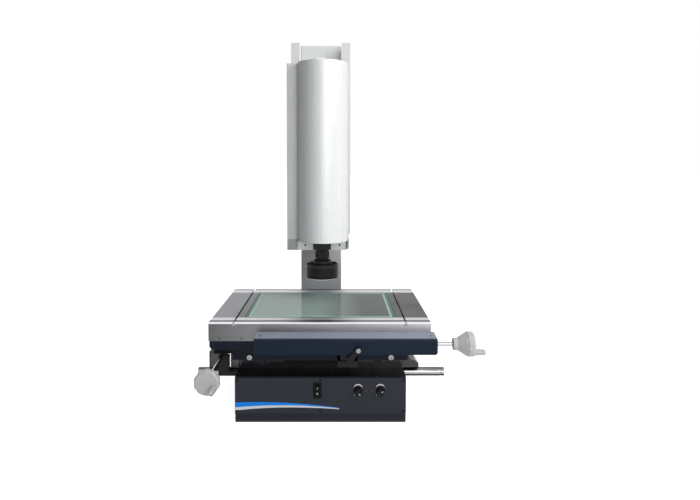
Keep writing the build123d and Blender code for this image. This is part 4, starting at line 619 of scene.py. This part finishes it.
@dataclass
class Skin:
    """A mesh in the making: points and four-cornered faces that grow by whole arrays."""

    points: list[Array] = field(default_factory=list)
    faces: list[Array] = field(default_factory=list)
    count: int = 0

    def add(self, points: Array, faces: Array) -> "Skin":
        """Adds points and faces.

        Args:
            points: array whose last axis is x, y, z.
            faces: (m, 4) array that counts from the first of these points.

        Returns:
            The skin itself.
        """
        self.points.append(points.reshape(-1, 3))
        self.faces.append(faces + self.count)
        self.count += len(self.points[-1])
        return self

    def grid(self, p: Array, round_u: bool = False, round_v: bool = False) -> "Skin":
        """Adds a sheet of faces between neighbours of a (u, v, 3) array.

        Args:
            p: the points.
            round_u: joins the last row to the first.
            round_v: joins the last column to the first.

        Returns:
            The skin itself.
        """
        m, n = p.shape[:2]
        ids = np.arange(m * n).reshape(m, n)
        ids = np.concatenate([ids, ids[:1]], 0) if round_u else ids
        ids = np.concatenate([ids, ids[:, :1]], 1) if round_v else ids
        quads = np.stack([ids[:-1, :-1], ids[1:, :-1], ids[1:, 1:], ids[:-1, 1:]], -1).reshape(-1, 4)
        return self.add(p, quads)

    def turn(self, profile: Profile, way: Way, centre: Sequence[float] = (0, 0, 0), parts: int = 48,
             shape: Rule | None = None, sense: float = 1.0, closed: bool = False) -> "Skin":
        """Adds a turned profile, whose last point joins its first if closed; the rest is as for turned()."""
        return self.grid(turned(profile, way, centre, parts, shape, sense), closed, True)

    def boxes(self, boxes: Sequence[tuple[Sequence[float], Sequence[float]]], cut: float) -> "Skin":
        """Adds chamfered boxes: each corner of a box gives three points, corner + cut inwards less one axis.

        Args:
            boxes: lowest and highest corner of each.
            cut: size of the chamfer.

        Returns:
            The skin itself.
        """
        low, high = np.array(boxes, float).transpose(1, 0, 2)
        signs = np.array([(x, y, z) for x in (0, 1) for y in (0, 1) for z in (0, 1)], float)
        base = low[:, None, None] + (high - low)[:, None, None] * signs[None, :, None]
        p = base + (1 - 2 * signs)[None, :, None] * cut * (1 - np.eye(3)[None, None])

        def point(a: int, side: int, b_side: int, c_side: int, drawn: int) -> int:
            """Gives the number of the point at a corner, told by its sides along a and the next axes."""
            return int(np.roll((side, b_side, c_side), a) @ (12, 6, 3)) + drawn

        quads = [[3 * tip, 3 * tip + 1, 3 * tip + 2, 3 * tip + 2] for tip in range(8)]
        around = ((0, 0), (1, 0), (1, 1), (0, 1))
        for a in range(3):
            b, c = (a + 1) % 3, (a + 2) % 3
            quads += [[point(a, side, *pair, a) for pair in around] for side in (0, 1)]
            quads += [[point(a, side, *pair, drawn) for side, drawn in ((0, b), (1, b), (1, c), (0, c))]
                      for pair in around]
        step = (np.arange(len(low)) * 24)[:, None, None]
        return self.add(p, (np.array(quads)[None] + step).reshape(-1, 4))

    def piece(self, name: str, body: Body, finish: Finish, replaces: Sequence[str] = (), crease: float = 32.0,
              slot: str = "") -> None:
        """Makes the mesh an object in metres that rides on a body.

        Args:
            name: the piece's name.
            body: what it rides on.
            finish: its finish.
            replaces: nodes that it stands for.
            crease: angle in degrees past which an edge stays sharp.
            slot: the record's material slot, if it stands for no node; not used.
        """
        points = np.concatenate(self.points) / PER_METRE
        quads = np.concatenate(self.faces)
        mesh = bpy.data.meshes.new(name)
        mesh.vertices.add(len(points))
        mesh.vertices.foreach_set("co", points.astype(np.float32).ravel())
        mesh.loops.add(quads.size)
        mesh.loops.foreach_set("vertex_index", quads.astype(np.int32).ravel())
        mesh.polygons.add(len(quads))
        mesh.polygons.foreach_set("loop_start", np.arange(0, quads.size, 4, dtype=np.int32))
        mesh.update(calc_edges=True)
        mesh.validate()
        shape = bmesh.new()
        shape.from_mesh(mesh)
        bmesh.ops.remove_doubles(shape, verts=shape.verts, dist=WELD)
        bmesh.ops.dissolve_degenerate(shape, edges=shape.edges, dist=SLIVER)
        bmesh.ops.recalc_face_normals(shape, faces=shape.faces)
        shape.to_mesh(mesh)
        shape.free()
        mesh.shade_smooth()
        mesh.set_sharp_from_angle(angle=math.radians(crease))
        mesh.materials.append(finish.material())
        item = bpy.data.objects.new(name, mesh)
        bpy.context.collection.objects.link(item)
        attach(item, body.value)
        if replaces:
            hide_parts(*replaces)
        log.info("piece %s: %d faces on %s", name, len(mesh.polygons), body.value)


def turned(profile: Profile, way: Way, centre: Sequence[float] = (0, 0, 0), parts: int = 48,
           shape: Rule | None = None, sense: float = 1.0) -> Array:
    """Turns a profile: point = centre + t along the axis + r times (cos a, sin a) across it.

    Args:
        profile: (radius, distance along the axis) pairs, from one pole to the other.
        way: the axis.
        centre: where distance 0 lies.
        parts: steps round.
        shape: gives the true radius from (radius, distance, angle) for lobes, flutes or knurls.
        sense: 1 along the axis, -1 against it.

    Returns:
        A (profile, parts, 3) array.
    """
    pts = np.array(profile, float)
    t, a = np.meshgrid(pts[:, 1], np.linspace(0, 2 * np.pi, parts, endpoint=False), indexing="ij")
    r = np.repeat(pts[:, :1], parts, 1)
    r = shape(r, t, a) if shape else r
    order = [r * np.cos(a), r * np.sin(a)]
    order.insert(way.value, t * sense)
    return np.stack(order, -1) + np.array(centre, float)


def dense(profile: Profile, step: float) -> Profile:
    """Puts more points on a profile's straight runs: a + (b - a) k / n, with n from the run's length.

    Args:
        profile: (radius, distance) pairs.
        step: the widest gap between points.

    Returns:
        The denser profile.
    """
    pts = np.array(profile, float)
    out = [pts[:1]]
    for a, b in zip(pts[:-1], pts[1:]):
        n = max(1, int(np.ceil(np.hypot(*(b - a)) / step)))
        out.append(a + (b - a) * np.linspace(0, 1, n + 1)[1:, None])
    return [tuple(p) for p in np.concatenate(out)]


def rounded(profile: Profile, radius: float, steps: int = 3) -> Profile:
    """Rounds a profile's corners: each inner corner b becomes (1 - u)^2 p + 2 u (1 - u) b + u^2 q.

    Args:
        profile: (radius, distance) pairs.
        radius: reach of each corner, so how far p and q lie from b.
        steps: pieces of each curve.

    Returns:
        The rounded profile.
    """
    pts = np.array(profile, float)
    out = [pts[:1]]
    for a, b, c in zip(pts[:-2], pts[1:-1], pts[2:]):
        ab, cb = a - b, c - b
        reach = min(radius, np.hypot(*ab) * 0.45, np.hypot(*cb) * 0.45)
        p, q = b + ab / np.hypot(*ab) * reach, b + cb / np.hypot(*cb) * reach
        u = np.linspace(0, 1, steps + 1)[:, None]
        out.append((1 - u) ** 2 * p + 2 * u * (1 - u) * b + u * u * q)
    out.append(pts[-1:])
    return [tuple(p) for p in np.concatenate(out)]


def hexed(radius: float, deep: float) -> Rule:
    """Gives a shape rule that turns radii up to a size into a six-sided socket.

    Args:
        radius: half the socket's width across its flats; not used.
        deep: radii up to this one become six-sided.

    Returns:
        The rule: r = flat / cos(angle to the nearest flat).
    """
    def rule(r: Array, t: Array, a: Array) -> Array:
        """Works out the socket's radius."""
        turn = (a + np.pi / 6) % (np.pi / 3) - np.pi / 6
        return np.where((r > 0) & (r <= deep), r / np.cos(turn), r)
    return rule


def cap_screw(skin: Skin, way: Way, seat: Sequence[float], size: Pair, sense: float) -> None:
    """Adds one socket head screw's head: a drum with a bevelled top and a six-sided socket.

    Args:
        skin: the skin that takes it.
        way: the screw's axis.
        seat: the middle of the face that it sits on.
        size: the head's radius and height.
        sense: 1 if the head stands along the axis, -1 against it.
    """
    radius, height = size
    key = radius * 0.5
    profile = [(0, 0), (radius, 0), (radius, height * 0.85), (radius * 0.9, height), (key * 1.12, height),
               (key, height - radius * 0.06), (key, height * 0.45), (0, height * 0.4)]
    skin.turn(profile, way, seat, 24, hexed(key, key * 1.001), sense)


# Sub-assemblies, with sizes in millimetres
@dataclass
class HeadPieces:
    """The half-round cover, the lens parts and the ring light of the head."""

    radius: float = 67.0
    wall: float = 2.5
    front: float = 31.0
    bottom: float = 399.0
    top: float = 872.0
    lip: float = 8.0
    core: float = 15.0
    ring: float = 43.7
    ring_low: float = 306.5
    ring_high: float = 342.5
    collar: float = 24.7
    collar_high: float = 354.5
    zoom_high: float = 382.4
    zoom_screw: Pair = (1.3, 0.9)
    ring_screw: Pair = (3.0, 2.4)
    plate_screw: Pair = (2.6, 1.2)
    collar_screw: Pair = (2.2, 1.0)

    def cover(self) -> None:
        """Makes the cover: its wall section turned half round the upright axis, with a closed top and two lips."""
        r, w, y = self.radius, self.wall, self.front
        section = rounded([(0, self.top), (r, self.top), (r, self.bottom), (r - w, self.bottom),
                           (r - w, self.top - w), (0, self.top - w)], 1.2, 4)
        section = np.array(dense(section, 40.0))
        rr, aa = np.meshgrid(section[:, 0], np.linspace(np.pi, 2 * np.pi, 73), indexing="ij")
        zz = np.repeat(section[:, 1][:, None], 73, 1)
        p = np.stack([rr * np.cos(aa), y + rr * np.sin(aa), zz], -1)
        skin = Skin().grid(p)
        half = len(section) // 2
        for side in (0, -1):
            skin.grid(np.stack([p[:half, side], p[::-1, side][:half]], 0))
        outer, inner = r - w * 0.6, r - w - self.lip
        skin.boxes([((-outer, y - w, self.bottom + 0.5), (-inner, y - 0.05, self.top - w)),
                    ((inner, y - w, self.bottom + 0.5), (outer, y - 0.05, self.top - w))], 0.3)
        skin.piece("half_round_cover", Body.HEAD, Finishes.cover, ["head_cover"], 50.0)

    def knurl(self, r: Array, t: Array, a: Array) -> Array:
        """Cuts 48 ridges 0.7 deep between two heights t: r less the depth times a flattened cosine of a."""
        inside = (t > self.collar_high + 3.8) & (t < self.zoom_high - 7.4) & (r > self.core)
        return r - np.where(inside, 0.7 * np.clip(0.5 - 1.4 * np.cos(a * 48), 0, 1), 0.0)

    def lens(self) -> None:
        """Makes the zoom ring with its ridges, and the clamp screw beside it."""
        z0, z1, bore = self.collar_high, self.zoom_high, self.core + 0.05
        profile = rounded([(bore, z0 + 0.3), (17.4, z0 + 0.3), (17.4, z0 + 2.4), (18.5, z0 + 3.2), (18.5, z1 - 7),
                           (17.7, z1 - 6.4), (17.7, z1 - 4.6), (18.4, z1 - 4), (18.4, z1), (bore, z1)], 0.4)
        skin = Skin().turn(dense(profile, 2.0), Way.Z, parts=192, shape=self.knurl, closed=True)
        cap_screw(skin, Way.Y, (0, -18.0, z1 - 2.6), self.zoom_screw, -1.0)
        skin.piece("ridged_zoom_ring", Body.ZOOM, Finishes.dark, ["zoom_ring"])

    def end_cap(self) -> None:
        """Makes the small cap that closes the head's lower right corner beside the lens plate."""
        box = ((56.5, self.front + 1.0, 374.5), (66.6, self.front + 26.0, 397.5))
        Skin().boxes([box], 0.8).piece("right_end_cap", Body.HEAD, Finishes.scale, slot="cover_silver")

    def ring_light(self) -> None:
        """Makes the ring light: fine cooling grooves round its drum, a stepped bore and a collar."""
        z0, z1, r, bore = self.ring_low, self.ring_high, self.ring, self.core + 0.02
        profile = [(25.0, z0 + 12), (29, z0 + 5), (r - 6, z0), (r - 0.5, z0 + 1.2), (r, z0 + 3)]
        for z in np.arange(z0 + 5, z1 - 8, 2.4):
            profile += [(r, z), (r - 0.7, z + 0.5), (r - 0.7, z + 1.1), (r, z + 1.6)]
        profile += rounded([(r, z1 - 5.5), (r, z1 - 3), (r - 3, z1), (bore, z1), (bore, z1 - 8)], 0.8)
        skin = Skin().turn(profile + [(25.0, z1 - 8)], Way.Z, parts=96, closed=True)
        collar = [(bore, z1), (self.collar, z1), (self.collar, z1 + 7.2), (19.5, self.collar_high),
                  (bore, self.collar_high)]
        skin.turn(rounded(collar, 0.6), Way.Z, parts=72, closed=True)
        skin.piece("ribbed_ring_light", Body.HEAD, Finishes.ring, ["ring_light"])

    def screws(self) -> None:
        """Makes the screws on the ring light and the lens plate, and the two that clamp the collar."""
        screws, clamps, z1, reach = Skin(), Skin(), self.ring_high, 35.2
        for angle in np.radians((20.0, 140.0, 260.0)):
            cap_screw(screws, Way.Z, (reach * math.cos(angle), reach * math.sin(angle), z1), self.ring_screw, 1.0)
        for x in (-46.0, 46.0):
            cap_screw(screws, Way.Y, (x, self.front, 386.5), self.plate_screw, -1.0)
        screws.piece("head_socket_screws", Body.HEAD, Finishes.dark_screw, ["head_screws"])
        for sense in (1.0, -1.0):
            cap_screw(clamps, Way.X, (sense * (self.collar - 0.6), 0, z1 + 3.8), self.collar_screw, sense)
        clamps.piece("collar_screws", Body.HEAD, Finishes.dark_screw, slot="screw_steel")

    def lamps(self) -> None:
        """Makes the diffuser band and two rings of small domed lamps on it."""
        z0, size = self.ring_low, 1.3
        band = [(29, z0 + 4.6), (29, z0 + 3.2), (37.7, z0 - 1.4), (37.7, z0 - 0.2)]
        skin = Skin().turn(rounded(band, 0.3), Way.Z, parts=96, closed=True)
        dome = [(size * math.cos(u), size * math.sin(u)) for u in np.linspace(0, np.pi / 2, 4)]
        flat = turned(dome, Way.Z, parts=10, sense=-1.0) * [1, 1, 0.35]
        for radius, count, z in ((31.6, 28, z0 + 1.6), (35.4, 32, z0 - 0.3)):
            for angle in np.linspace(0, 2 * np.pi, count, endpoint=False):
                skin.grid(flat + [radius * math.cos(angle), radius * math.sin(angle), z], round_v=True)
        skin.piece("ring_lamp_band", Body.HEAD, Finishes.lamp, ["ring_lamps"])

    def build(self) -> None:
        """Makes every piece of the head."""
        for make in (self.cover, self.lens, self.end_cap, self.ring_light, self.screws, self.lamps):
            make()


@dataclass
class DrivePieces:
    """The rods, lobed handwheels, crank handles and their pins of the X and Y drives."""

    rod: float = 5.0
    hub: float = 13.5
    rim: float = 27.5
    cone: float = 28.0
    width: float = 17.0
    lobes: int = 10
    lobe: float = 14.0
    bite: float = 1.6
    lobe_start: float = 24.6
    offset: float = 18.5
    handle: float = 26.0
    pin: float = 3.0
    x_hub: Place = (293.5, -249.0, 209.5)
    x_length: float = 431.7
    y_hub: Place = (-236.0, -262.0, 144.0)
    y_length: float = 478.0
    x_crank: float = 90.0
    y_crank: float = 34.0

    def lobed(self, r: Array, t: Array, a: Array) -> Array:
        """Cuts the rim's radius back by a ring of round scoops: r = d cos b - sqrt(lobe^2 - (d sin b)^2).

        Args:
            r: plain radii.
            t: distances along the axis.
            a: angles round it.

        Returns:
            The scooped radii.
        """
        reach = self.rim + self.lobe - self.bite
        half = np.pi / self.lobes
        b = (a + half) % (2 * half) - half
        inside = self.lobe ** 2 - (reach * np.sin(b)) ** 2
        scoop = np.where(inside > 0, reach * np.cos(b) - np.sqrt(np.maximum(inside, 0)), np.inf)
        fade = np.clip((t - self.lobe_start) / 1.5, 0, 1)
        return np.where(r > self.hub, np.minimum(r, r * (1 - fade) + np.minimum(scoop, r) * fade), r)

    def drive(self, name: str, way: Way, hub: Sequence[float], length: float, crank: float, wheel_body: Body,
              crank_body: Body) -> None:
        """Makes one drive.

        Args:
            name: x or y, as in the nodes' names.
            way: the rod's axis.
            hub: where the wheel's hub starts.
            length: how far the rod runs back from there.
            crank: how far the crank pin is turned down from the right, in degrees.
            wheel_body: the body of the rod and wheel.
            crank_body: the body of the handle.
        """
        sense = 1.0 if way is Way.X else -1.0
        cone, rim, dish, end = self.cone, self.rim, self.rim * 0.86, self.cone + self.width
        wheel = rounded([(0, 0), (self.hub, 0), (self.hub, cone * 0.3), (rim - 2.2, cone - 0.6),
                         (rim - 3.6, cone + 0.4), (rim - 3.2, cone + 1.6), (rim - 0.3, cone + 2.2),
                         (rim, cone + 3.4), (rim, end - 3.5),
                         (dish, end), (dish - 3, end - 0.1), (0, end + 0.5)], 0.6, 3)
        skin = Skin().turn(dense(wheel, 1.6), way, hub, 200, self.lobed, sense)
        skin.piece(f"{name}_lobed_wheel", wheel_body, Finishes.wheel, [f"{name}_handwheel"], 40.0)
        turn = math.radians(crank)
        foot = (hub[0] + self.offset * math.cos(turn), hub[1], hub[2] - self.offset * math.sin(turn))
        start, tip, bore = end + 0.4, end + 0.4 + self.handle, self.pin + 0.06
        grip = rounded([(bore, start), (8.0, start), (7.5, start + 2), (6.9, start + 12), (6.4, tip - 3), (4.8, tip),
                        (4.6, tip), (4.6, tip - 4.2), (bore, tip - 4.2)], 1.0, 4)
        skin = Skin().turn(dense(grip, 3.0), way, foot, sense=sense, closed=True)
        skin.piece(f"{name}_crank_grip", crank_body, Finishes.handle, [f"{name}_crank_handle"], 50.0)
        r, pin, key = self.rod, self.pin, 1.8
        shaft = [(0, -length), (r - 0.5, -length), (r, -length + 0.5), (r, 13.5), (r - 0.5, 14), (0, 14)]
        skin = Skin().turn(rounded(shaft, 0.2), way, hub, 40, None, sense)
        head = [(0, end - 10), (pin, end - 10), (pin, tip - 4.0), (4.2, tip - 4.0), (4.2, tip - 2.4),
                (3.6, tip - 1.7), (1.9, tip - 1.7), (key, tip - 1.9), (key, tip - 3.0), (0, tip - 3.1)]
        skin.turn(head, way, foot, 24, hexed(key, 1.85), sense)
        skin.piece(f"{name}_ground_rod", wheel_body, Finishes.rod, [f"{name}_rod"])

    def build(self) -> None:
        """Makes both drives."""
        self.drive("x", Way.X, self.x_hub, self.x_length, self.x_crank, Body.X_ROD, Body.X_CRANK)
        self.drive("y", Way.Y, self.y_hub, self.y_length, self.y_crank, Body.Y_ROD, Body.Y_CRANK)


@dataclass
class PanelPieces:
    """The front panel's stripe and marks, its knobs, lamps and screws, and the power rocker's marks."""

    face: float = -178.0
    contour: Pair = (88.0, 140.0)
    surface: Pair = (140.0, 50.0)
    level: float = 75.0
    radius: float = 9.6
    length: float = 13.0
    stand: float = 1.0
    lift: float = 0.12
    stripe_ends: Pair = (-199.0, 44.0)
    stripe_rows: tuple[tuple[float, ...], ...] = ((47.8, 51.2, 46.5, 35.0), (36.3, 43.8, 42.6, 33.9),
                                                  (29.0, 38.6, 37.4, 32.2))
    screw: Pair = (2.6, 1.2)
    lamp: float = 2.0
    rocker: Place = (-7.0, -175.0, 76.0)
    rocker_half: float = 13.2
    rocker_rise: float = 1.855
    rocker_face: float = 3.6
    rocker_tilt: float = 8.0

    def stripe(self) -> None:
        """Makes the two-tone stripe: sheets between three cubic curves across the panel, a hair proud of it."""
        u, (left, right) = np.linspace(0, 1, 60), self.stripe_ends
        x = left + (right - left) * u
        lines = [(1 - u) ** 3 * a + 3 * u * (1 - u) ** 2 * b + 3 * u * u * (1 - u) * c + u ** 3 * d
                 for a, b, c, d in self.stripe_rows]
        t = np.linspace(0, 1, 3)[:, None]
        for name, upper, lower, finish in (("blue_stripe", *lines[:2], Finishes.stripe_blue),
                                           ("white_stripe", *lines[1:], Finishes.stripe_white)):
            z = upper * (1 - t) + lower * t
            front = np.stack([np.repeat(x[None], 3, 0), np.full_like(z, self.face - self.lift), z], -1)
            skin = Skin().grid(np.concatenate([front, front[::-1] + [0, self.lift * 0.9, 0]]), round_u=True)
            skin.piece(name, Body.BASE, finish, slot="panel_film")

    def marks(self) -> None:
        """Makes the white crescents over the knobs and the dots at their lower left, as thin raised ink."""
        skin, low, inner = Skin(), 0.01, 13.6
        a = np.linspace(np.radians(38), np.radians(142), 40)
        thick = 3.0 * np.sin((a - a[0]) / (a[-1] - a[0]) * np.pi) + 0.15
        dot = [(0, low), (0.9, low), (0.9, self.lift), (0, self.lift)]
        for x, _ in (self.contour, self.surface):
            rows = [np.stack([x + (inner + thick * k) * np.cos(a), np.full_like(a, self.face - d),
                              self.level + (inner + thick * k) * np.sin(a)], -1)
                    for k, d in ((0, low), (0, self.lift), (1, self.lift), (1, low))]
            skin.grid(np.stack(rows), round_u=True)
            skin.turn(dot, Way.Y, (x - 9.0, self.face, self.level - 9.5), 16, None, -1.0)
        skin.piece("panel_marks", Body.BASE, Finishes.ink, slot="panel_film")

    def rocker_marks(self) -> None:
        """Makes the on and off marks: a bar above and a ring below, laid on the rocker's two slopes."""
        skin, tilt, slope = Skin(), math.radians(self.rocker_tilt), self.rocker_rise / self.rocker_half
        turn = np.array([[1, 0, 0], [0, math.cos(tilt), -math.sin(tilt)], [0, math.sin(tilt), math.cos(tilt)]])
        a = np.linspace(0, 2 * np.pi, 24, endpoint=False)
        for sign, wide, tall, inner in ((1.0, 0.55, 2.5, 0.0), (-1.0, 1.9, 2.5, 0.62)):
            ring = np.stack([wide * np.cos(a), tall * np.sin(a)], -1)
            if inner == 0.0:
                ring = np.clip(ring * 2.2, [-wide, -tall], [wide, tall])
            rows = []
            for part, proud in ((inner, 0.0), (inner, self.lift), (1.0, self.lift), (1.0, 0.0)):
                z = sign * self.rocker_half * 0.5 + ring[:, 1] * part
                rows.append(np.stack([ring[:, 0] * part, -(self.rocker_face + np.abs(z) * slope) - proud, z], -1))
            skin.grid(np.stack(rows) @ turn.T + np.array(self.rocker), round_u=True, round_v=True)
        skin.piece("rocker_marks", Body.ROCKER, Finishes.ink, slot="switch_plastic")

    def flutes(self, r: Array, t: Array, a: Array) -> Array:
        """Scoops fourteen flutes into a knob past its foot: r times one less a squared cosine of a."""
        side = (r > self.radius - 1.2) & (t > 2.2)
        return np.where(side, r * (1 - 0.06 * (0.5 + 0.5 * np.cos(14 * a)) ** 2), r)

    def knob(self, name: str, x: float, angle: float, body: Body) -> None:
        """Makes one fluted knob with its pointer line.

        Args:
            name: contour or surface.
            x: its place across the panel.
            angle: where its pointer stands, clockwise from the top.
            body: the body it rides on.
        """
        h, r, seat = self.length, self.radius, (x, self.face - self.stand, self.level)
        profile = rounded([(0, 0), (r, 0), (r, 1.8), (r - 0.35, 2.4), (r - 0.9, h - 1.2), (r - 2.2, h),
                           (r - 4.2, h - 0.5), (0, h - 0.5)], 0.6)
        skin = Skin().turn(dense(profile, 1.2), Way.Y, seat, 168, self.flutes, -1.0)
        skin.piece(f"{name}_fluted_knob", body, Finishes.knob, [f"{name}_knob"])
        turn = math.radians(90.0 - angle)
        along, across = np.array([math.cos(turn), math.sin(turn)]), np.array([-math.sin(turn), math.cos(turn)])
        ring = np.array([t * along + s * across for t, s in ((2.4, -0.75), (2.4, 0.75), (6.6, 0.75), (6.6, -0.75))])
        rows = [np.stack([x + ring[:, 0], np.full(4, seat[1] - d), self.level + ring[:, 1]], -1)
                for d in (h - 0.48, h - 0.2)]
        middle = [np.repeat(row.mean(0)[None], 4, 0) for row in rows]
        skin = Skin().grid(np.stack([middle[0], *rows, middle[1]]), round_v=True)
        skin.piece(f"{name}_pointer", body, Finishes.ink, slot="knob_plastic")

    def screws(self) -> None:
        """Makes the six panel screws and the two domed limit lamps."""
        skin, lamps, r = Skin(), Skin(), self.lamp
        for x in (-194.0, 0.0, 194.0):
            for z in (28.0, 100.5):
                cap_screw(skin, Way.Y, (x, self.face, z), self.screw, -1.0)
        skin.piece("panel_socket_screws", Body.BASE, Finishes.dark_screw, ["panel_screws"])
        dome = [(r * math.cos(u), 0.2 + math.sin(u)) for u in np.linspace(0.1, np.pi / 2, 7)]
        for x in (107.0, 122.0):
            lamps.turn([(0, -17), (r, -17), (r, 0.2)] + dome, Way.Y, (x, self.face, self.level), 24, None, -1.0)
        lamps.piece("domed_limit_lamps", Body.BASE, Finishes.lamp_red, ["limit_lamps"])

    def build(self) -> None:
        """Makes every piece of the panel."""
        self.stripe()
        self.marks()
        self.rocker_marks()
        self.knob("contour", *self.contour, Body.CONTOUR)
        self.knob("surface", *self.surface, Body.SURFACE)
        self.screws()


@dataclass
class BasePieces:
    """The carrying bars, the large socket screws and the Z screw."""

    bar: float = 10.5
    half: float = 200.0
    reach: float = 102.0
    level: float = 94.0
    rows: Pair = (-105.0, 330.0)
    way_screw: Pair = (6.5, 8.0)
    column_screw: Pair = (9.0, 12.0)
    saddle_screw: Pair = (6.3, 5.0)
    thread_radius: float = 6.0
    thread_place: Pair = (-10.0, 253.0)
    thread_ends: Pair = (403.0, 908.0)
    screw_ends: Pair = (386.0, 925.01)
    lead: float = 10.0

    def bars(self) -> None:
        """Makes four turned bars with a groove near each end and a centre dimple."""
        skin, r, n, groove = Skin(), self.bar, self.reach, self.reach * 0.9
        profile = rounded([(0, -22), (r, -22), (r, groove), (r - 1, groove + 0.5), (r - 1, groove + 1.7),
                           (r, groove + 2.2), (r, n - 1.2), (r - 1.2, n), (2.4, n), (0, n - 2)], 0.4)
        for sense in (-1.0, 1.0):
            for y in self.rows:
                skin.turn(profile, Way.X, (sense * self.half, y, self.level), 64, None, sense)
        skin.piece("turned_carrying_bars", Body.BASE, Finishes.chrome, ["carrying_bars"])

    def screws(self) -> None:
        """Makes the heads of the two way frame screws and six column screws, and the two in the saddle's front."""
        skin, saddle = Skin(), Skin()
        for x in (-176.0, 176.0):
            cap_screw(skin, Way.Y, (x, -120.0, 136.56), self.way_screw, -1.0)
        for x in (-87.3, 67.3):
            for y in (264.3, 326.0, 387.7):
                cap_screw(skin, Way.Z, (x, y, 130.0), self.column_screw, 1.0)
        skin.piece("large_socket_screws", Body.BASE, Finishes.screw, ["cap_screws"])
        for x in (-159.5, 161.0):
            cap_screw(saddle, Way.Y, (x, -209.9, 167.0), self.saddle_screw, -1.0)
        saddle.piece("saddle_socket_screws", Body.SADDLE, Finishes.screw, slot="screw_steel")

    def thread(self) -> None:
        """Makes the Z screw's thread: r = 6 less 0.8 of a flattened wave of the angle and height over the lead."""
        heights, angles = np.arange(*self.screw_ends, 1.25), np.linspace(0, 2 * np.pi, 24, endpoint=False)
        zz, aa = np.meshgrid(heights, angles, indexing="ij")
        low, high = self.thread_ends
        inside = np.clip((zz - low) * 0.2, 0, 1) * np.clip((high - zz) * 0.2, 0, 1)
        wave = np.clip(0.5 + 0.9 * np.cos(aa - zz / self.lead * 4 * np.pi), 0, 1)
        r = self.thread_radius - 0.8 * wave * inside
        x, y = self.thread_place
        p = np.stack([x + r * np.cos(aa), y + r * np.sin(aa), zz], -1)
        ends = [np.repeat(p[i].mean(0)[None, None], 24, 1) for i in (0, -1)]
        skin = Skin().grid(np.concatenate([ends[0], p, ends[1]]), round_v=True)
        skin.piece("threaded_screw", Body.Z_SCREW, Finishes.z_rail, ["z_screw"], 60.0)

    def build(self) -> None:
        """Makes every piece of the base."""
        self.bars()
        self.screws()
        self.thread()


# Light, floor and camera
@dataclass
class Studio:
    """A white floor and sky, three soft lamps, and the camera in front of the machine."""

    eye: Place = (0.0371, -1.4522, 0.6055)
    pitch: float = 2.0
    focal: float = 553.6
    centre: Pair = (336.3, 182.9)
    picture: Pair = (700.0, 500.0)
    sensor: float = 36.0
    floor_size: float = 30.0

    def build(self) -> None:
        """Makes the stage, the lamps and the camera."""
        self.floor()
        self.sky()
        self.lamp("key", (1.7, -1.1, 1.6), (0.0, 0.0, 0.45), size=1.2, power=22.0)
        self.lamp("fill", (0.9, -2.7, 1.2), (0.0, 0.0, 0.35), size=1.6, power=26.0)
        self.lamp("top", (0.2, 0.2, 2.6), (0.0, 0.0, 0.3), size=1.6, power=12.0)
        self.camera()
        bpy.context.scene.view_settings.view_transform = "Standard"

    def seen(self, g: Graph) -> Socket:
        """Gives 1 for rays from the camera, a mirror or clear glass, and 0 for light bounced softly.

        Args:
            g: the graph that the nodes go to.

        Returns:
            The value socket.
        """
        rays = g.node("LightPath", {}).outputs
        mirrored = g.maths("MAXIMUM", rays["Is Camera Ray"], rays["Is Glossy Ray"])
        return g.maths("MAXIMUM", mirrored, rays["Is Transmission Ray"])

    def floor(self) -> None:
        """Lays a large pale floor that keeps the machine's soft shadow."""
        size = self.floor_size
        mesh = bpy.data.meshes.new("floor")
        mesh.from_pydata([(-size, -size, 0), (size, -size, 0), (size, size, 0), (-size, size, 0)], [], [(0, 1, 2, 3)])
        floor = bpy.data.objects.new("floor", mesh)
        bpy.context.collection.objects.link(floor)
        mesh.materials.append(bpy.data.materials.new("floor_white"))
        g = Graph(mesh.materials[0])
        g.put(Base_Color=(0.86, 0.86, 0.86), Roughness=0.9, Specular_IOR_Level=0.0)
        g.put(Emission_Color=(1.0, 1.0, 1.0), Emission_Strength=g.times(self.seen(g), 0.85))

    def sky(self) -> None:
        """Makes the world an even pale light that looks white to the camera, mirrors and glass."""
        world = bpy.data.worlds.new("studio")
        bpy.context.scene.world = world
        g = Graph(world, "Background")
        g.put(Color=(0.95, 0.97, 1.0), Strength=0.28)
        white = g.node("Background", {"Color": (1.0, 1.0, 1.0), "Strength": 1.0}).outputs[0]
        mix = g.node("MixShader", {0: self.seen(g), 1: g.shader.outputs[0], 2: white}).outputs[0]
        g.fill(g.tree.nodes["World Output"], {"Surface": mix})

    def lamp(self, name: str, place: Place, target: Place, size: float, power: float) -> None:
        """Hangs one square soft lamp that faces a point.

        Args:
            name: the lamp's name.
            place: where it hangs.
            target: the point it faces.
            size: its edge in metres.
            power: watts.
        """
        data = bpy.data.lights.new(name, "AREA")
        data.size = size
        data.energy = power
        lamp = bpy.data.objects.new(name, data)
        bpy.context.collection.objects.link(lamp)
        lamp.location = place
        way = np.array(target) - np.array(place)
        lamp.rotation_euler = Vector(way).to_track_quat("-Z", "Y").to_euler()

    def camera(self) -> None:
        """Sets the camera by its focal length in pixels and its optical centre in the picture."""
        data = bpy.data.cameras.new("camera")
        width, height = self.picture
        data.sensor_width = self.sensor
        data.lens = self.focal / width * self.sensor
        data.shift_x = (width / 2 - self.centre[0]) / width
        data.shift_y = -(height / 2 - self.centre[1]) / width
        data.clip_start = 0.05
        camera = bpy.data.objects.new("camera", data)
        bpy.context.collection.objects.link(camera)
        camera.location = self.eye
        camera.rotation_euler = (math.radians(90.0 - self.pitch), 0.0, 0.0)
        bpy.context.scene.camera = camera


def main() -> None:
    """Builds the looks in order."""
    logging.basicConfig(level=logging.INFO)
    Studio().build()
    dress_nodes()
    for group in (HeadPieces(), DrivePieces(), PanelPieces(), BasePieces()):
        group.build()


if __name__ == "__main__":
    main()
